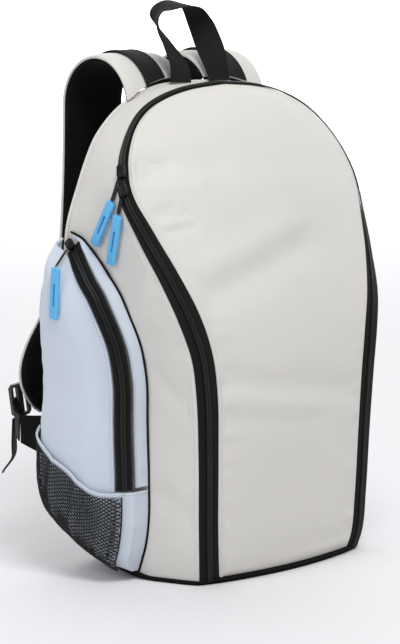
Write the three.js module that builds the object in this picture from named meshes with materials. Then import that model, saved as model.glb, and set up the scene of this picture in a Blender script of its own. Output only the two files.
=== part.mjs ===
// Cooler backpack: a soft insulated bag with an arched front lid, side pockets and padded straps.
// Millimetres, +Z up, the lid faces -Y, and the origin lies under the middle of the whole bag.
import * as THREE from 'three';
import { mergeVertices } from 'three/addons/utils/BufferGeometryUtils.js';

// Main body
const BODY_HEIGHT = 436;
const ZIP_WIDTH = 286;
const BACK_WIDTH = 300;
const BODY_DEPTH = 142;
const BACK_LEAN = 22;
const SIDE_BULGE = 4;
const LID_CROWN = 34;
const BODY_WALL = 4;
const LID_PRESS = 20;
const LID_SEAM_SHARE = 0.3;
const LID_GAP = 1;
const BASE_WALL = 3.5;
const CORNER_RADIUS = 80;
const CORNER_START = 48;
const BACK_THICKNESS = 9;
const SEAM_GAP = 0.4;

// Zips
const MAIN_BAND = 20;
const POCKET_BAND = 15;
const TAPE_THICKNESS = 1.4;
const COIL_WIDTH = 5;
const COIL_HEIGHT = 1.6;
const COIL_GAP = 0.6;

// Side pockets
const POCKET_HEIGHT = 308;
const POCKET_DEPTH = 28;
const POCKET_SWELL = 7;
const POCKET_CORNER = 16;
const POCKET_TIP = 40;
const POCKET_FRONT_GROWTH = 14;
const POCKET_REAR_GROWTH = 64;
const POCKET_WALL = 2;
const POCKET_STAND = 0.8;
const POCKET_TRIM = 1.3;
const WALL_TRIM = 2.6;
const NET_WALL = 1.4;
const NET_STAND = 1.5;
const NET_HEM = 5;
const NET_OPEN = 1.5;
const BINDING_WIDTH = 4;
const BINDING_THICKNESS = 1.8;
const POCKET_ZIP_FOOT = 85;

// Sliders and pulls
const SLIDER_LENGTH = 12;
const SLIDER_WIDTH = 8;
const SLIDER_HEIGHT = 4;
const TAB_WIDTH = 4;
const TAB_THICKNESS = 1.2;
const TAB_START = 7.8;
const TAB_GAP = 1;
const PULL_LENGTH = 46;
const PULL_WIDTH = 9.5;
const PULL_THICKNESS = 3.6;
const PULL_SLOT_LENGTH = 20;
const PULL_SLOT_WIDTH = 2.4;
const PULL_SLOT_SET = 2;
const PULL_CUT = 1.5;
const SLIDER_CUT = 1.5;
const UPPER_SLIDER = 0.692;
const LOWER_SLIDER = 0.664;

// Webbing, handle and shoulder straps
const WEBBING_WIDTH = 25;
const WEBBING_THICKNESS = 1.8;
const HANDLE_SPAN = 64;
const HANDLE_RISE = 70;
const HANDLE_BACK = 25;
const HANDLE_INSET = 5;
const STRAP_WIDTH = 68;
const STRAP_SPACING = 100;
const STRAP_THICKNESS = 9;
const COVER_THICKNESS = 1.6;
const STRAP_EDGE_SHARE = 0.5;
const ARCH_RADIUS = 44;
const ARCH_SINK = 22;
const ARCH_INSET = 1;
const ARCH_LEVEL = BODY_HEIGHT - ARCH_SINK;
const ARCH_START = BODY_DEPTH - BACK_LEAN - ARCH_INSET;
const STRAP_DROP = 280;
const STRAP_SPLAY = 74;
const STRAP_NEAR = 15;
const BUCKLE_WIDTH = 31;
const BUCKLE_LENGTH = 20;
const BUCKLE_THICKNESS = 5;
const BUCKLE_SLOT = 5;
const BUCKLE_CUT = 3;
const WING_THICKNESS = 2.2;
const WING_LEVEL = 120;

// Sampling
const SIDE_STEPS = 13;
const TOP_STEPS = 12;
const GUSSET_STEPS = 6;
const LID_STEPS = 10;

const COLOURS = {
  canvas: { color: 0xdad7d2, roughness: 0.78, metalness: 0 },
  blue: { color: 0xc3ccd9, roughness: 0.75, metalness: 0 },
  black: { color: 0x1b1a1b, roughness: 0.85, metalness: 0 },
  webbing: { color: 0x262527, roughness: 0.7, metalness: 0 },
  zip: { color: 0x1e1c1c, roughness: 0.6, metalness: 0 },
  slider: { color: 0x232323, roughness: 0.4, metalness: 0.6 },
  rubber: { color: 0x7cc4ec, roughness: 0.45, metalness: 0 },
  net: { color: 0x2b2d33, roughness: 0.7, metalness: 0 },
};

// Outline of the body from a foot of the zip to the top of its arch. The lengths are shares:
// rise and backRise of BODY_HEIGHT, half of half ZIP_WIDTH, deep of BODY_DEPTH,
// backHalf of half BACK_WIDTH, crown of LID_CROWN and tape of MAIN_BAND. turn is how far the
// band of the zip has turned from facing the front to facing up.
const OUTLINE = [
  {
    along: 0, rise: 0, half: 0.642, deep: 0.025,
    backRise: 0, backHalf: 1, crown: 0.25, turn: 0, tape: 0.94,
  },
  {
    along: 0.028, rise: 0.034, half: 0.664, deep: 0.004,
    backRise: 0.034, backHalf: 1, crown: 0.28, turn: 0, tape: 0.93,
  },
  {
    along: 0.095, rise: 0.12, half: 0.681, deep: -0.009,
    backRise: 0.12, backHalf: 1, crown: 0.33, turn: 0, tape: 0.92,
  },
  {
    along: 0.205, rise: 0.26, half: 0.694, deep: -0.023,
    backRise: 0.26, backHalf: 1, crown: 0.38, turn: 0, tape: 0.94,
  },
  {
    along: 0.308, rise: 0.39, half: 0.715, deep: -0.032,
    backRise: 0.39, backHalf: 1, crown: 0.38, turn: 0, tape: 1,
  },
  {
    along: 0.371, rise: 0.47, half: 0.748, deep: -0.024,
    backRise: 0.47, backHalf: 1, crown: 0.38, turn: 0, tape: 1,
  },
  {
    along: 0.438, rise: 0.55, half: 0.813, deep: 0.025,
    backRise: 0.55, backHalf: 1, crown: 0.42, turn: 0.1, tape: 1,
  },
  {
    along: 0.508, rise: 0.63, half: 0.883, deep: 0.127,
    backRise: 0.63, backHalf: 0.993, crown: 0.55, turn: 0.25, tape: 0.86,
  },
  {
    along: 0.582, rise: 0.711, half: 0.951, deep: 0.261,
    backRise: 0.711, backHalf: 0.98, crown: 0.76, turn: 0.4, tape: 0.73,
  },
  {
    along: 0.66, rise: 0.796, half: 1, deep: 0.398,
    backRise: 0.798, backHalf: 0.91, crown: 0.97, turn: 0.55, tape: 0.56,
  },
  {
    along: 0.705, rise: 0.849, half: 0.955, deep: 0.467,
    backRise: 0.851, backHalf: 0.853, crown: 0.93, turn: 0.66, tape: 0.44,
  },
  {
    along: 0.75, rise: 0.894, half: 0.874, deep: 0.523,
    backRise: 0.896, backHalf: 0.787, crown: 0.87, turn: 0.78, tape: 0.37,
  },
  {
    along: 0.786, rise: 0.928, half: 0.78, deep: 0.563,
    backRise: 0.93, backHalf: 0.7, crown: 0.78, turn: 0.86, tape: 0.33,
  },
  {
    along: 0.825, rise: 0.955, half: 0.661, deep: 0.594,
    backRise: 0.957, backHalf: 0.6, crown: 0.63, turn: 0.92, tape: 0.33,
  },
  {
    along: 0.869, rise: 0.976, half: 0.503, deep: 0.612,
    backRise: 0.979, backHalf: 0.473, crown: 0.44, turn: 0.96, tape: 0.33,
  },
  {
    along: 0.922, rise: 0.991, half: 0.301, deep: 0.62,
    backRise: 0.995, backHalf: 0.293, crown: 0.2, turn: 1, tape: 0.33,
  },
  {
    along: 1, rise: 1, half: 0, deep: 0.62,
    backRise: 1, backHalf: 0, crown: 0, turn: 1, tape: 0.33,
  },
];
const SIDE_END = 0.66;

// Front seam of a side pocket on the body, from its foot to its tip on the back seam:
// rise is a share of POCKET_HEIGHT, set a share of the depth from the lid to the back seam.
const POCKET_SEAM = [
  { rise: 0.016, set: 0.43 },
  { rise: 0.107, set: 0.366 },
  { rise: 0.19, set: 0.343 },
  { rise: 0.28, set: 0.342 },
  { rise: 0.48, set: 0.352 },
  { rise: 0.58, set: 0.347 },
  { rise: 0.63, set: 0.353 },
  { rise: 0.7, set: 0.368 },
  { rise: 0.79, set: 0.417 },
  { rise: 0.845, set: 0.46 },
  { rise: 0.88, set: 0.514 },
  { rise: 0.93, set: 0.607 },
  { rise: 0.967, set: 0.71 },
  { rise: 0.99, set: 0.82 },
  { rise: 1, set: 0.95 },
];
const POCKET_FOOT = 0.016;

// Top edge of a net pocket from the front of the side pocket to the back seam:
// across is the share of that way, rise a share of POCKET_HEIGHT.
const NET_TOP = [
  { across: 0, rise: 0.262 },
  { across: 0.3, rise: 0.27 },
  { across: 0.55, rise: 0.325 },
  { across: 0.8, rise: 0.37 },
  { across: 1, rise: 0.436 },
];

// Centre line of the handle from its left foot to its right one: over is a share of
// half HANDLE_SPAN, rise of HANDLE_RISE, back of HANDLE_BACK, twist turns the width of
// the webbing from across the bag to front-to-back and tip lifts its back edge, in degrees.
const HANDLE = [
  { along: 0, over: -0.75, rise: 0, back: 0, twist: 0, tip: 0 },
  { along: 0.1, over: -0.74, rise: 0.22, back: 0.12, twist: 8, tip: 0 },
  { along: 0.2, over: -0.85, rise: 0.46, back: 0.5, twist: 28, tip: 0 },
  { along: 0.3, over: -1, rise: 0.7, back: 0.85, twist: 48, tip: 5 },
  { along: 0.4, over: -0.9, rise: 0.9, back: 1, twist: 68, tip: 12 },
  { along: 0.5, over: -0.35, rise: 1, back: 1, twist: 90, tip: 14 },
  { along: 0.6, over: 0.3, rise: 0.96, back: 1, twist: 100, tip: 8 },
  { along: 0.7, over: 0.62, rise: 0.76, back: 0.9, twist: 112, tip: 0 },
  { along: 0.8, over: 0.74, rise: 0.5, back: 0.6, twist: 130, tip: 0 },
  { along: 0.9, over: 0.76, rise: 0.22, back: 0.2, twist: 160, tip: 0 },
  { along: 1, over: 0.76, rise: 0, back: 0, twist: 180, tip: 0 },
];

// Centre line of a shoulder strap below its arch: drop is a share of STRAP_DROP, out of
// STRAP_SPLAY, near of the way forward to the bag and width of STRAP_WIDTH.
const STRAP = [
  { along: 0, drop: 0, out: 0, near: 0, width: 1 },
  { along: 0.2, drop: 0.2, out: 0, near: -0.1, width: 1 },
  { along: 0.4, drop: 0.42, out: 0.06, near: 0, width: 1 },
  { along: 0.6, drop: 0.6, out: 0.19, near: 0.3, width: 1 },
  { along: 0.75, drop: 0.74, out: 0.53, near: 0.6, width: 1 },
  { along: 0.9, drop: 0.89, out: 0.94, near: 0.85, width: 0.92 },
  { along: 1, drop: 1, out: 1.02, near: 1, width: 0.5 },
];

const { clamp, lerp, degToRad, smoothstep } = THREE.MathUtils;
const vec = (x, y, z) => new THREE.Vector3(x, y, z);
const steps = (count) => Array.from({ length: count + 1 }, (_, i) => i / count);
const bag = new THREE.Group();

// The columns of a table as smooth curves of the one named key.
function smooth(rows, key) {
  const names = Object.keys(rows[0]);
  const stations = rows.map((row) => row[key]);
  const values = rows.flatMap((row) => names.map((name) => row[name]));
  const curve = new THREE.CubicInterpolant(stations, values, names.length);
  return (at) => {
    const found = curve.evaluate(clamp(at, stations[0], stations.at(-1)));
    return Object.fromEntries(names.map((name, i) => [name, found[i]]));
  };
}

const outline = smooth(OUTLINE, 'along');
const sideOutline = smooth(OUTLINE.filter((row) => row.along <= SIDE_END), 'rise');
const pocketSeam = smooth(POCKET_SEAM, 'rise');
const netTop = smooth(NET_TOP, 'across');
const handleLine = smooth(HANDLE, 'along');
const strapLine = smooth(STRAP, 'along');

// A closed solid from triangles given as triples of points.
function solid(triangles) {
  const flat = triangles.flat().flatMap((p) => [p.x, p.y, p.z]);
  const geometry = new THREE.BufferGeometry();
  geometry.setAttribute('position', new THREE.Float32BufferAttribute(flat, 3));
  const welded = mergeVertices(geometry, 1e-3);
  const index = welded.index.array;
  const kept = [];
  let volume = 0;
  const corner = (i) => vec().fromBufferAttribute(welded.attributes.position, i);
  for (let i = 0; i < index.length; i += 3) {
    const [a, b, c] = index.slice(i, i + 3);
    if (a === b || b === c || c === a) continue;
    kept.push(a, b, c);
    volume += corner(a).dot(corner(b).cross(corner(c)));
  }
  if (volume < 0) kept.reverse();
  welded.setIndex(kept);
  return welded;
}

// The two triangles of a four-sided face.
const face = (a, b, c, d) => [[a, b, c], [a, c, d]];

// A wall between two grids of points with the same rows and columns.
function wall(outer, inner) {
  const rows = outer.length - 1;
  const columns = outer[0].length - 1;
  const triangles = [];
  for (let i = 0; i < rows; i++) {
    for (let j = 0; j < columns; j++) {
      triangles.push(...face(outer[i][j], outer[i][j + 1], outer[i + 1][j + 1], outer[i + 1][j]));
      triangles.push(...face(inner[i][j], inner[i + 1][j], inner[i + 1][j + 1], inner[i][j + 1]));
    }
  }
  for (let j = 0; j < columns; j++) {
    triangles.push(...face(outer[0][j], inner[0][j], inner[0][j + 1], outer[0][j + 1]));
    triangles.push(...face(outer[rows][j], outer[rows][j + 1], inner[rows][j + 1], inner[rows][j]));
  }
  for (let i = 0; i < rows; i++) {
    triangles.push(...face(outer[i][0], outer[i + 1][0], inner[i + 1][0], inner[i][0]));
    triangles.push(
      ...face(outer[i][columns], inner[i][columns], inner[i + 1][columns], outer[i + 1][columns]),
    );
  }
  return solid(triangles);
}

// The unit normal of a grid of points at each of them, on the side that rows cross columns.
function normals(grid) {
  const at = (list, i) => list[clamp(i, 0, list.length - 1)];
  return grid.map((row, i) => {
    const found = row.map((_, j) => {
      const up = vec().subVectors(at(at(grid, i + 1), j), at(at(grid, i - 1), j));
      const over = vec().subVectors(at(row, j + 1), at(row, j - 1));
      if (over.length() < 1e-3) over.subVectors(at(at(grid, i - 1), j + 1), at(at(grid, i - 1), j - 1));
      return up.cross(over).normalize();
    });
    const shrunk = row[0].distanceTo(row.at(-1)) < 1e-3;
    if (!shrunk) return found;
    const mean = found.reduce((sum, n) => sum.add(n), vec()).normalize();
    return found.map(() => mean);
  });
}

// The points that lie behind a grid, as deep as the number or the function of a point says.
function behind(grid, thickness) {
  const facing = normals(grid);
  const depth = (p, i, j) => (typeof thickness === 'function' ? thickness(p, i, j) : thickness);
  return grid.map((row, i) => (
    row.map((p, j) => p.clone().addScaledVector(facing[i][j], -depth(p, i, j)))
  ));
}
const sheet = (grid, thickness) => wall(grid, behind(grid, thickness));

// A flat band along a line of frames, each with its centre, across and out directions and,
// where the band narrows there, its share of the width.
function band(frames, width, height, lift = 0) {
  const edge = (sign, level) => frames.map(({ centre, across, out, share = 1 }) => (
    centre.clone().addScaledVector(across, sign * share * width / 2).addScaledVector(out, level)
  ));
  const pair = (level) => {
    const near = edge(-1, level);
    const far = edge(1, level);
    return near.map((p, i) => [p, far[i]]);
  };
  return wall(pair(lift), pair(lift - height));
}

function add(name, geometry, look) {
  geometry.computeVertexNormals();
  const mesh = new THREE.Mesh(geometry, new THREE.MeshStandardMaterial(COLOURS[look]));
  mesh.name = name;
  bag.add(mesh);
  return mesh;
}

// A point of the right half of the bag, on the side asked for.
const onSide = (p, side) => vec(p.x * side, p.y, p.z);

// Body: where the back seam lies, and the rounded rear corners of the base.
const CORNER_GROWTH = 1.5;
const EDGE_SHARE = 0.625;
const SIDE_HEIGHT = BODY_HEIGHT * outline(SIDE_END).rise;
const BASE_LIFT = BASE_WALL + SEAM_GAP;

const backDepth = (z) => (
  BODY_DEPTH - BACK_LEAN * Math.pow(clamp(z / BODY_HEIGHT, 0, 1), CORNER_GROWTH)
);
const cornerRadius = (y) => (
  CORNER_RADIUS * Math.pow(clamp((y - CORNER_START) / (BODY_DEPTH - CORNER_START), 0, 1), CORNER_GROWTH)
);
const baseEdge = (y) => EDGE_SHARE * cornerRadius(y);
const cornerInset = (y, z) => {
  const radius = cornerRadius(y);
  const short = Math.max(radius - z, 0);
  return radius - Math.sqrt(Math.max(radius * radius - short * short, 0));
};
const liftOffBase = (y, z) => z + (baseEdge(y) + BASE_LIFT) * Math.max(1 - z / SIDE_HEIGHT, 0);

// Zip line of the right half: centre, direction across the band towards the back, and out.
const BAND_TOE = degToRad(12);
const zipCentre = (along) => {
  const row = outline(along);
  return vec(row.half * ZIP_WIDTH / 2, row.deep * BODY_DEPTH, row.rise * BODY_HEIGHT);
};
function zipFrame(along) {
  const row = outline(along);
  const near = Math.max(along - 0.01, 0);
  const far = Math.min(along + 0.01, 1);
  const run = vec().subVectors(zipCentre(far), zipCentre(near)).normalize();
  if (along === 1) run.set(-1, 0, 0);
  const across = vec(Math.cos(BAND_TOE), Math.sin(BAND_TOE), 0)
    .lerp(vec(0, Math.cos(BAND_TOE), Math.sin(BAND_TOE)), row.turn);
  across.addScaledVector(run, -across.dot(run)).normalize();
  const out = vec().crossVectors(across, run);
  const centre = zipCentre(along);
  centre.z = liftOffBase(0, centre.z);
  return { centre, across, out };
}
const bandPoint = (along, across, out) => {
  const frame = zipFrame(along);
  return frame.centre.addScaledVector(frame.across, across).addScaledVector(frame.out, out);
};

// Stations of the whole arch, from the left foot over the top to the right foot.
const ARCH = [
  ...steps(SIDE_STEPS).map((t) => t * SIDE_END),
  ...steps(TOP_STEPS).slice(1).map((t) => lerp(SIDE_END, 1, t)),
];
const STATIONS = [
  ...ARCH.map((along) => ({ along, side: -1 })),
  ...ARCH.slice(0, -1).reverse().map((along) => ({ along, side: 1 })),
];

// The gusset, from behind the zip (share 0) to the back seam (share 1).
const BULGE_LEAD = 0.6;
function gussetPoint(along, share) {
  const row = outline(along);
  const front = bandPoint(along, row.tape * MAIN_BAND / 2, -TAPE_THICKNESS - SEAM_GAP);
  const flatZ = row.backRise * BODY_HEIGHT;
  const backZ = along <= SIDE_END ? liftOffBase(BODY_DEPTH, flatZ) : flatZ;
  const back = vec(row.backHalf * BACK_WIDTH / 2, backDepth(backZ), backZ);
  const point = front.clone().lerp(back, share);
  const swell = Math.sin(Math.PI * Math.pow(share, BULGE_LEAD)) * (1 - row.turn);
  const level = lerp(row.rise, row.backRise, share) * BODY_HEIGHT;
  if (row.turn < 1) point.x += SIDE_BULGE * swell;
  if (along <= SIDE_END) {
    const tilt = front.z - liftOffBase(0, row.rise * BODY_HEIGHT);
    point.z = Math.max(liftOffBase(point.y, level) + tilt * (1 - share), liftOffBase(point.y, 0));
    point.x -= cornerInset(point.y, point.z);
  }
  return point;
}
const gusset = STATIONS.map(({ along, side }) => (
  steps(GUSSET_STEPS).map((share) => onSide(gussetPoint(along, share), side))
));
const gussetLining = behind(gusset, BODY_WALL);
gussetLining.forEach((row, i) => row.at(-1).setY(gusset[i].at(-1).y));
add('gusset_shell', wall(gusset, gussetLining), 'canvas');

// The lid inside the zip, crowned forward.
function lidPoint(along, across) {
  const edge = bandPoint(along, -outline(along).tape * MAIN_BAND / 2 - LID_GAP, 0);
  const crown = outline(along).crown * LID_CROWN * (1 - across * across);
  return vec(edge.x * across, edge.y - crown, edge.z);
}
const lid = ARCH.map((along) => (
  steps(LID_STEPS).map((t) => lidPoint(along, along === 1 ? 0 : 1 - 2 * t))
));

// Zip round the lid. The lid is pressed thin where it is sewn to the zip.
const frameOnSide = (frame, side) => ({
  centre: onSide(frame.centre, side),
  across: onSide(frame.across, side),
  out: onSide(frame.out, side),
});
const zipFrames = STATIONS.map(({ along, side }) => (
  { ...frameOnSide(zipFrame(along), side), share: outline(along).tape }
));
const coilFrames = zipFrames.map((frame) => ({ ...frame, share: 1 }));
function lidWall(p) {
  const nearest = Math.min(...zipFrames.map(({ centre, share }) => (
    centre.distanceTo(p) - share * MAIN_BAND / 2
  )));
  return BODY_WALL * clamp(nearest / LID_PRESS, LID_SEAM_SHARE, 1);
}
add('front_panel', sheet(lid, lidWall), 'canvas');
add('main_zip_tape', band(zipFrames, MAIN_BAND, TAPE_THICKNESS), 'zip');
add('main_zip_coil', band(coilFrames, COIL_WIDTH, COIL_HEIGHT, COIL_GAP + COIL_HEIGHT), 'zip');

// Base: flat underneath, turned up round the rear corners to meet the gusset.
const BASE_STEPS = 10;
const BASE_ARC_STEPS = 4;
const BASE_FLAT_STEPS = 8;
const EDGE_ANGLE = Math.acos(1 - EDGE_SHARE);
const baseColumns = [
  ...steps(BASE_ARC_STEPS).map((t) => ({ angle: -EDGE_ANGLE * (1 - t), flat: -1 })),
  ...steps(BASE_FLAT_STEPS).slice(1, -1).map((t) => ({ angle: 0, flat: 2 * t - 1 })),
  ...steps(BASE_ARC_STEPS).map((t) => ({ angle: EDGE_ANGLE * t, flat: 1 })),
];
const baseBow = gussetPoint(0, 0).y - lidPoint(0, 0).y;
const base = steps(BASE_STEPS).map((share) => {
  const edge = gussetPoint(0, share);
  const radius = cornerRadius(edge.y);
  const half = edge.x + cornerInset(edge.y, edge.z);
  return baseColumns.map(({ angle, flat }) => {
    const x = flat * (half - radius) + radius * Math.sin(angle);
    const bow = baseBow * (1 - (x / half) * (x / half)) * Math.pow(1 - share, 3);
    return vec(x, edge.y - bow, radius * (1 - Math.cos(angle)));
  });
});
const raised = base.map((row) => row.map((p) => p.clone().setZ(p.z + BASE_WALL)));
add('base_panel', wall(base, raised), 'black');

// Back panel: a padded plate that leans with the back seam, thin at its edge.
const BACK_CORNER_STEPS = 6;
const BACK_COLUMNS = 6;
const BACK_EDGE = 3;
const backRows = [
  ...steps(BACK_CORNER_STEPS).slice(0, -1).map((t) => {
    const z = CORNER_RADIUS * (1 - Math.cos(t * Math.PI / 2));
    return { z, half: BACK_WIDTH / 2 - cornerInset(BODY_DEPTH, z) };
  }),
  ...ARCH.map((along) => gussetPoint(along, 1)).filter((p) => p.z > CORNER_RADIUS)
    .map((p) => ({ z: p.z, half: p.x })),
];
const backFace = (swell) => backRows.map(({ z, half }, i) => (
  steps(BACK_COLUMNS).map((t) => {
    const across = 2 * t - 1;
    const rim = Math.pow(Math.abs(across), 6);
    const end = i === 0 || i === backRows.length - 1 ? 1 : 0;
    const thickness = lerp(BACK_THICKNESS, BACK_EDGE, Math.max(rim, end));
    return vec(half * across, backDepth(z) + SEAM_GAP + swell * thickness, z);
  })
));
add('back_panel', wall(backFace(1), backFace(0)), 'black');

// Both sides of the bag: a wall given for the right half is added there and mirrored.
const SIDES = [{ side: -1, label: 'left' }, { side: 1, label: 'right' }];
const mirrored = (grid, side) => grid.map((row) => row.map((p) => onSide(p, side)));
function addPair(name, outer, inner, look) {
  for (const { side, label } of SIDES) {
    add(`${label}_${name}`, wall(mirrored(outer, side), mirrored(inner, side)), look);
  }
}
function addBandPair(name, frames, width, height, look, lift = 0) {
  for (const { side, label } of SIDES) {
    const turned = frames.map((frame) => frameOnSide(frame, side));
    add(`${label}_${name}`, band(turned, width, height, lift), look);
  }
}

// Half width of the body at a depth and a height on its side.
function sideHalf(y, z) {
  const lift = baseEdge(y) + BASE_LIFT;
  const level = (z - lift) / (1 - lift / SIDE_HEIGHT);
  const { along } = sideOutline(clamp(level, 0, SIDE_HEIGHT) / BODY_HEIGHT);
  const front = gussetPoint(along, 0).y;
  const back = gussetPoint(along, 1).y;
  return gussetPoint(along, clamp((y - front) / (back - front), 0, 1)).x;
}

// Side pocket: how far it stands off the body, rounded at its rear, foot and tip.
const POCKET_BEND = 10.5;
const WALL_SHARE = 0.62;
const BEND_SHARE = 0.98;
const EDGE_TAPER = 0.3;
const EDGE_TAPER_START = 0.8;
const PANEL_FOOT = 0.058;
const PANEL_TIP = 0.975;
const PANEL_FOOT_ROWS = 5;
const SWELL_END = 0.6;
const quarter = (t) => Math.sqrt(1 - Math.pow(1 - clamp(t, 0, 1), 2));
function pocketReach(y, z) {
  const back = clamp((y - CORNER_START) / (BODY_DEPTH - CORNER_START), 0, 1);
  const growth = lerp(POCKET_FRONT_GROWTH, POCKET_REAR_GROWTH, back);
  const foot = quarter((z - baseEdge(y) - BASE_LIFT) / growth);
  const depth = POCKET_DEPTH + POCKET_SWELL * smoothstep(back, 0, SWELL_END);
  return depth * foot * quarter((POCKET_HEIGHT - z) / POCKET_TIP);
}
const pocketOut = (y, z) => (
  POCKET_STAND + pocketReach(y, z) * quarter((backDepth(z) - y) / POCKET_CORNER)
);
const onPocket = (y, z, out) => vec(sideHalf(y, z) + out, y, z);

// The seam of the pocket on the body, and the way from it into the pocket.
function seamPoint(rise) {
  const z = rise * POCKET_HEIGHT;
  const front = sideOutline(z / BODY_HEIGHT).deep * BODY_DEPTH;
  return { y: lerp(front, backDepth(z), pocketSeam(rise).set), z };
}
function seamInset(rise, distance) {
  const near = seamPoint(Math.max(rise - 0.01, POCKET_FOOT));
  const far = seamPoint(Math.min(rise + 0.01, 1));
  const length = Math.hypot(far.y - near.y, far.z - near.z);
  const here = seamPoint(rise);
  return {
    y: here.y + distance * (far.z - near.z) / length,
    z: here.z - distance * (far.y - near.y) / length,
  };
}
function pocketEdge(rise, distance, share) {
  const { y, z } = seamInset(rise, distance);
  const root = seamPoint(rise);
  const taper = 1 - EDGE_TAPER * smoothstep(rise, EDGE_TAPER_START, 1);
  return onPocket(y, z, Math.max(POCKET_STAND, taper * share * pocketReach(root.y, root.z)));
}

// Wall of the pocket in front of its zip, and the plain patch below the zip.
const ZIP_FOOT_SHARE = POCKET_ZIP_FOOT / POCKET_HEIGHT;
const ZIP_TIP_SHARE = 0.98;
const WALL_STEPS = 14;
const between = (from, to, count) => steps(count).map((t) => lerp(from, to, t));
const pocketWall = between(ZIP_FOOT_SHARE + 0.01, 0.995, WALL_STEPS).map((rise) => [
  pocketEdge(rise, 0, WALL_SHARE - WALL_TRIM / POCKET_DEPTH),
  pocketEdge(rise, 0, WALL_SHARE / 2),
  pocketEdge(rise, 0, 0),
]);
addPair('pocket_wall', pocketWall, behind(pocketWall, POCKET_WALL), 'blue');

const pocketPatch = between(POCKET_FOOT + 0.012, ZIP_FOOT_SHARE - 0.003, 6).map((rise) => [
  pocketEdge(rise, POCKET_BEND, BEND_SHARE),
  pocketEdge(rise, 0, WALL_SHARE),
  pocketEdge(rise, 0, 0),
]);
addPair('pocket_patch', pocketPatch, behind(pocketPatch, POCKET_WALL), 'blue');

const pocketZipFrames = between(ZIP_FOOT_SHARE + 0.003, ZIP_TIP_SHARE, WALL_STEPS).map((rise) => {
  const near = pocketEdge(rise, 0, WALL_SHARE);
  const far = pocketEdge(rise, POCKET_BEND, BEND_SHARE);
  const before = pocketEdge(Math.max(rise - 0.01, POCKET_FOOT), 0, WALL_SHARE);
  const after = pocketEdge(rise + 0.01, 0, WALL_SHARE);
  const run = after.sub(before).normalize();
  const across = far.clone().sub(near);
  across.addScaledVector(run, -across.dot(run)).normalize();
  return { centre: near.lerp(far, 0.5), across, out: vec().crossVectors(across, run) };
});
addBandPair('pocket_zip_tape', pocketZipFrames, POCKET_BAND - 1, TAPE_THICKNESS, 'zip');
addBandPair('pocket_zip_coil', pocketZipFrames, COIL_WIDTH, COIL_HEIGHT, 'zip', COIL_GAP + COIL_HEIGHT);

// Side panel of the pocket, from behind its zip to the base edge and the back seam.
const PANEL_STEPS = 14;
const PANEL_TURN = 0.24;
const PANEL_COLUMNS = [1, 0.97, 0.92, 0.84, 0.7, 0.5, 0.25, 0];
function rearEdge(share) {
  const foot = seamInset(PANEL_FOOT, POCKET_BEND + POCKET_TRIM);
  const cornerZ = baseEdge(BODY_DEPTH) + BASE_LIFT + POCKET_STAND;
  if (share < PANEL_TURN) {
    const y = lerp(foot.y + 4.5, BODY_DEPTH - POCKET_STAND, share / PANEL_TURN);
    return { y, z: baseEdge(y) + BASE_LIFT + POCKET_STAND };
  }
  const z = lerp(cornerZ, POCKET_HEIGHT * 0.985, (share - PANEL_TURN) / (1 - PANEL_TURN));
  return { y: backDepth(z) - POCKET_STAND, z };
}
const pocketPanel = steps(PANEL_STEPS).map((share) => {
  const trim = POCKET_TRIM * (1 + 2 * Math.max(1 - share * PANEL_FOOT_ROWS, 0));
  const front = seamInset(lerp(PANEL_FOOT, PANEL_TIP, share), POCKET_BEND + trim);
  const rear = rearEdge(share);
  return PANEL_COLUMNS.map((t) => {
    const y = lerp(front.y, rear.y, t);
    const z = lerp(front.z, rear.z, t);
    return onPocket(y, z, pocketOut(y, z));
  });
});
addPair('pocket_panel', pocketPanel, behind(pocketPanel, POCKET_WALL), 'blue');

// Net pocket over the foot of the side panel, open at its top.
const NET_ROWS = 7;
const NET_START = 6;
const NET_REAR = 4;
const NET_TURN = 0.07;
const NET_ACROSS = [1, 0.94, 0.85, 0.75, 0.64, 0.53, 0.42, 0.3, 0.18, NET_TURN, 0];
const NET_LAST = NET_ACROSS.length - 1;
function netBase(y, z) {
  const { y: seam } = seamPoint(z / POCKET_HEIGHT);
  const share = lerp(WALL_SHARE, BEND_SHARE, (y - seam) / POCKET_BEND);
  return Math.min(pocketOut(y, z), share * pocketReach(seam, z));
}
function netPoint(across, up) {
  const top = netTop(across).rise * POCKET_HEIGHT;
  let z = top / 2;
  let y = 0;
  for (let pass = 0; pass < 4; pass++) {
    y = lerp(seamPoint(z / POCKET_HEIGHT).y + NET_START, backDepth(z) - NET_REAR, across);
    z = lerp(baseEdge(y) + BASE_LIFT + NET_HEM, top, up);
  }
  return onPocket(y, z, across < NET_TURN ? netBase(y, z) : pocketOut(y, z));
}
const netGrid = steps(NET_ROWS).map((up) => (
  NET_ACROSS.map((across) => netPoint(across, up))
));
const netLift = (i, j) => (
  NET_STAND + NET_OPEN * (i / NET_ROWS) * Math.sin(Math.PI * j / NET_LAST)
);
const netInner = behind(netGrid, (p, i, j) => -netLift(i, j));
const netOuter = behind(netGrid, (p, i, j) => -netLift(i, j) - NET_WALL);
addPair('mesh_pocket', netOuter, netInner, 'net');

const netEdge = netOuter.at(-1);
const bindingFrames = NET_ACROSS.slice(1).map((_, k) => {
  const j = k + 1;
  const up = netEdge[j].clone().sub(netOuter.at(-2)[j]).normalize();
  const run = netEdge[Math.min(j + 1, NET_LAST)].clone().sub(netEdge[j - 1]).normalize();
  const across = up.addScaledVector(run, -up.dot(run)).normalize();
  const out = vec().crossVectors(across, run).negate();
  const centre = netEdge[j].clone().addScaledVector(across, BINDING_WIDTH / 2 + SEAM_GAP);
  return { centre, across, out };
});
addBandPair('mesh_binding', bindingFrames, BINDING_WIDTH, BINDING_THICKNESS, 'blue', BINDING_THICKNESS / 2);

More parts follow.
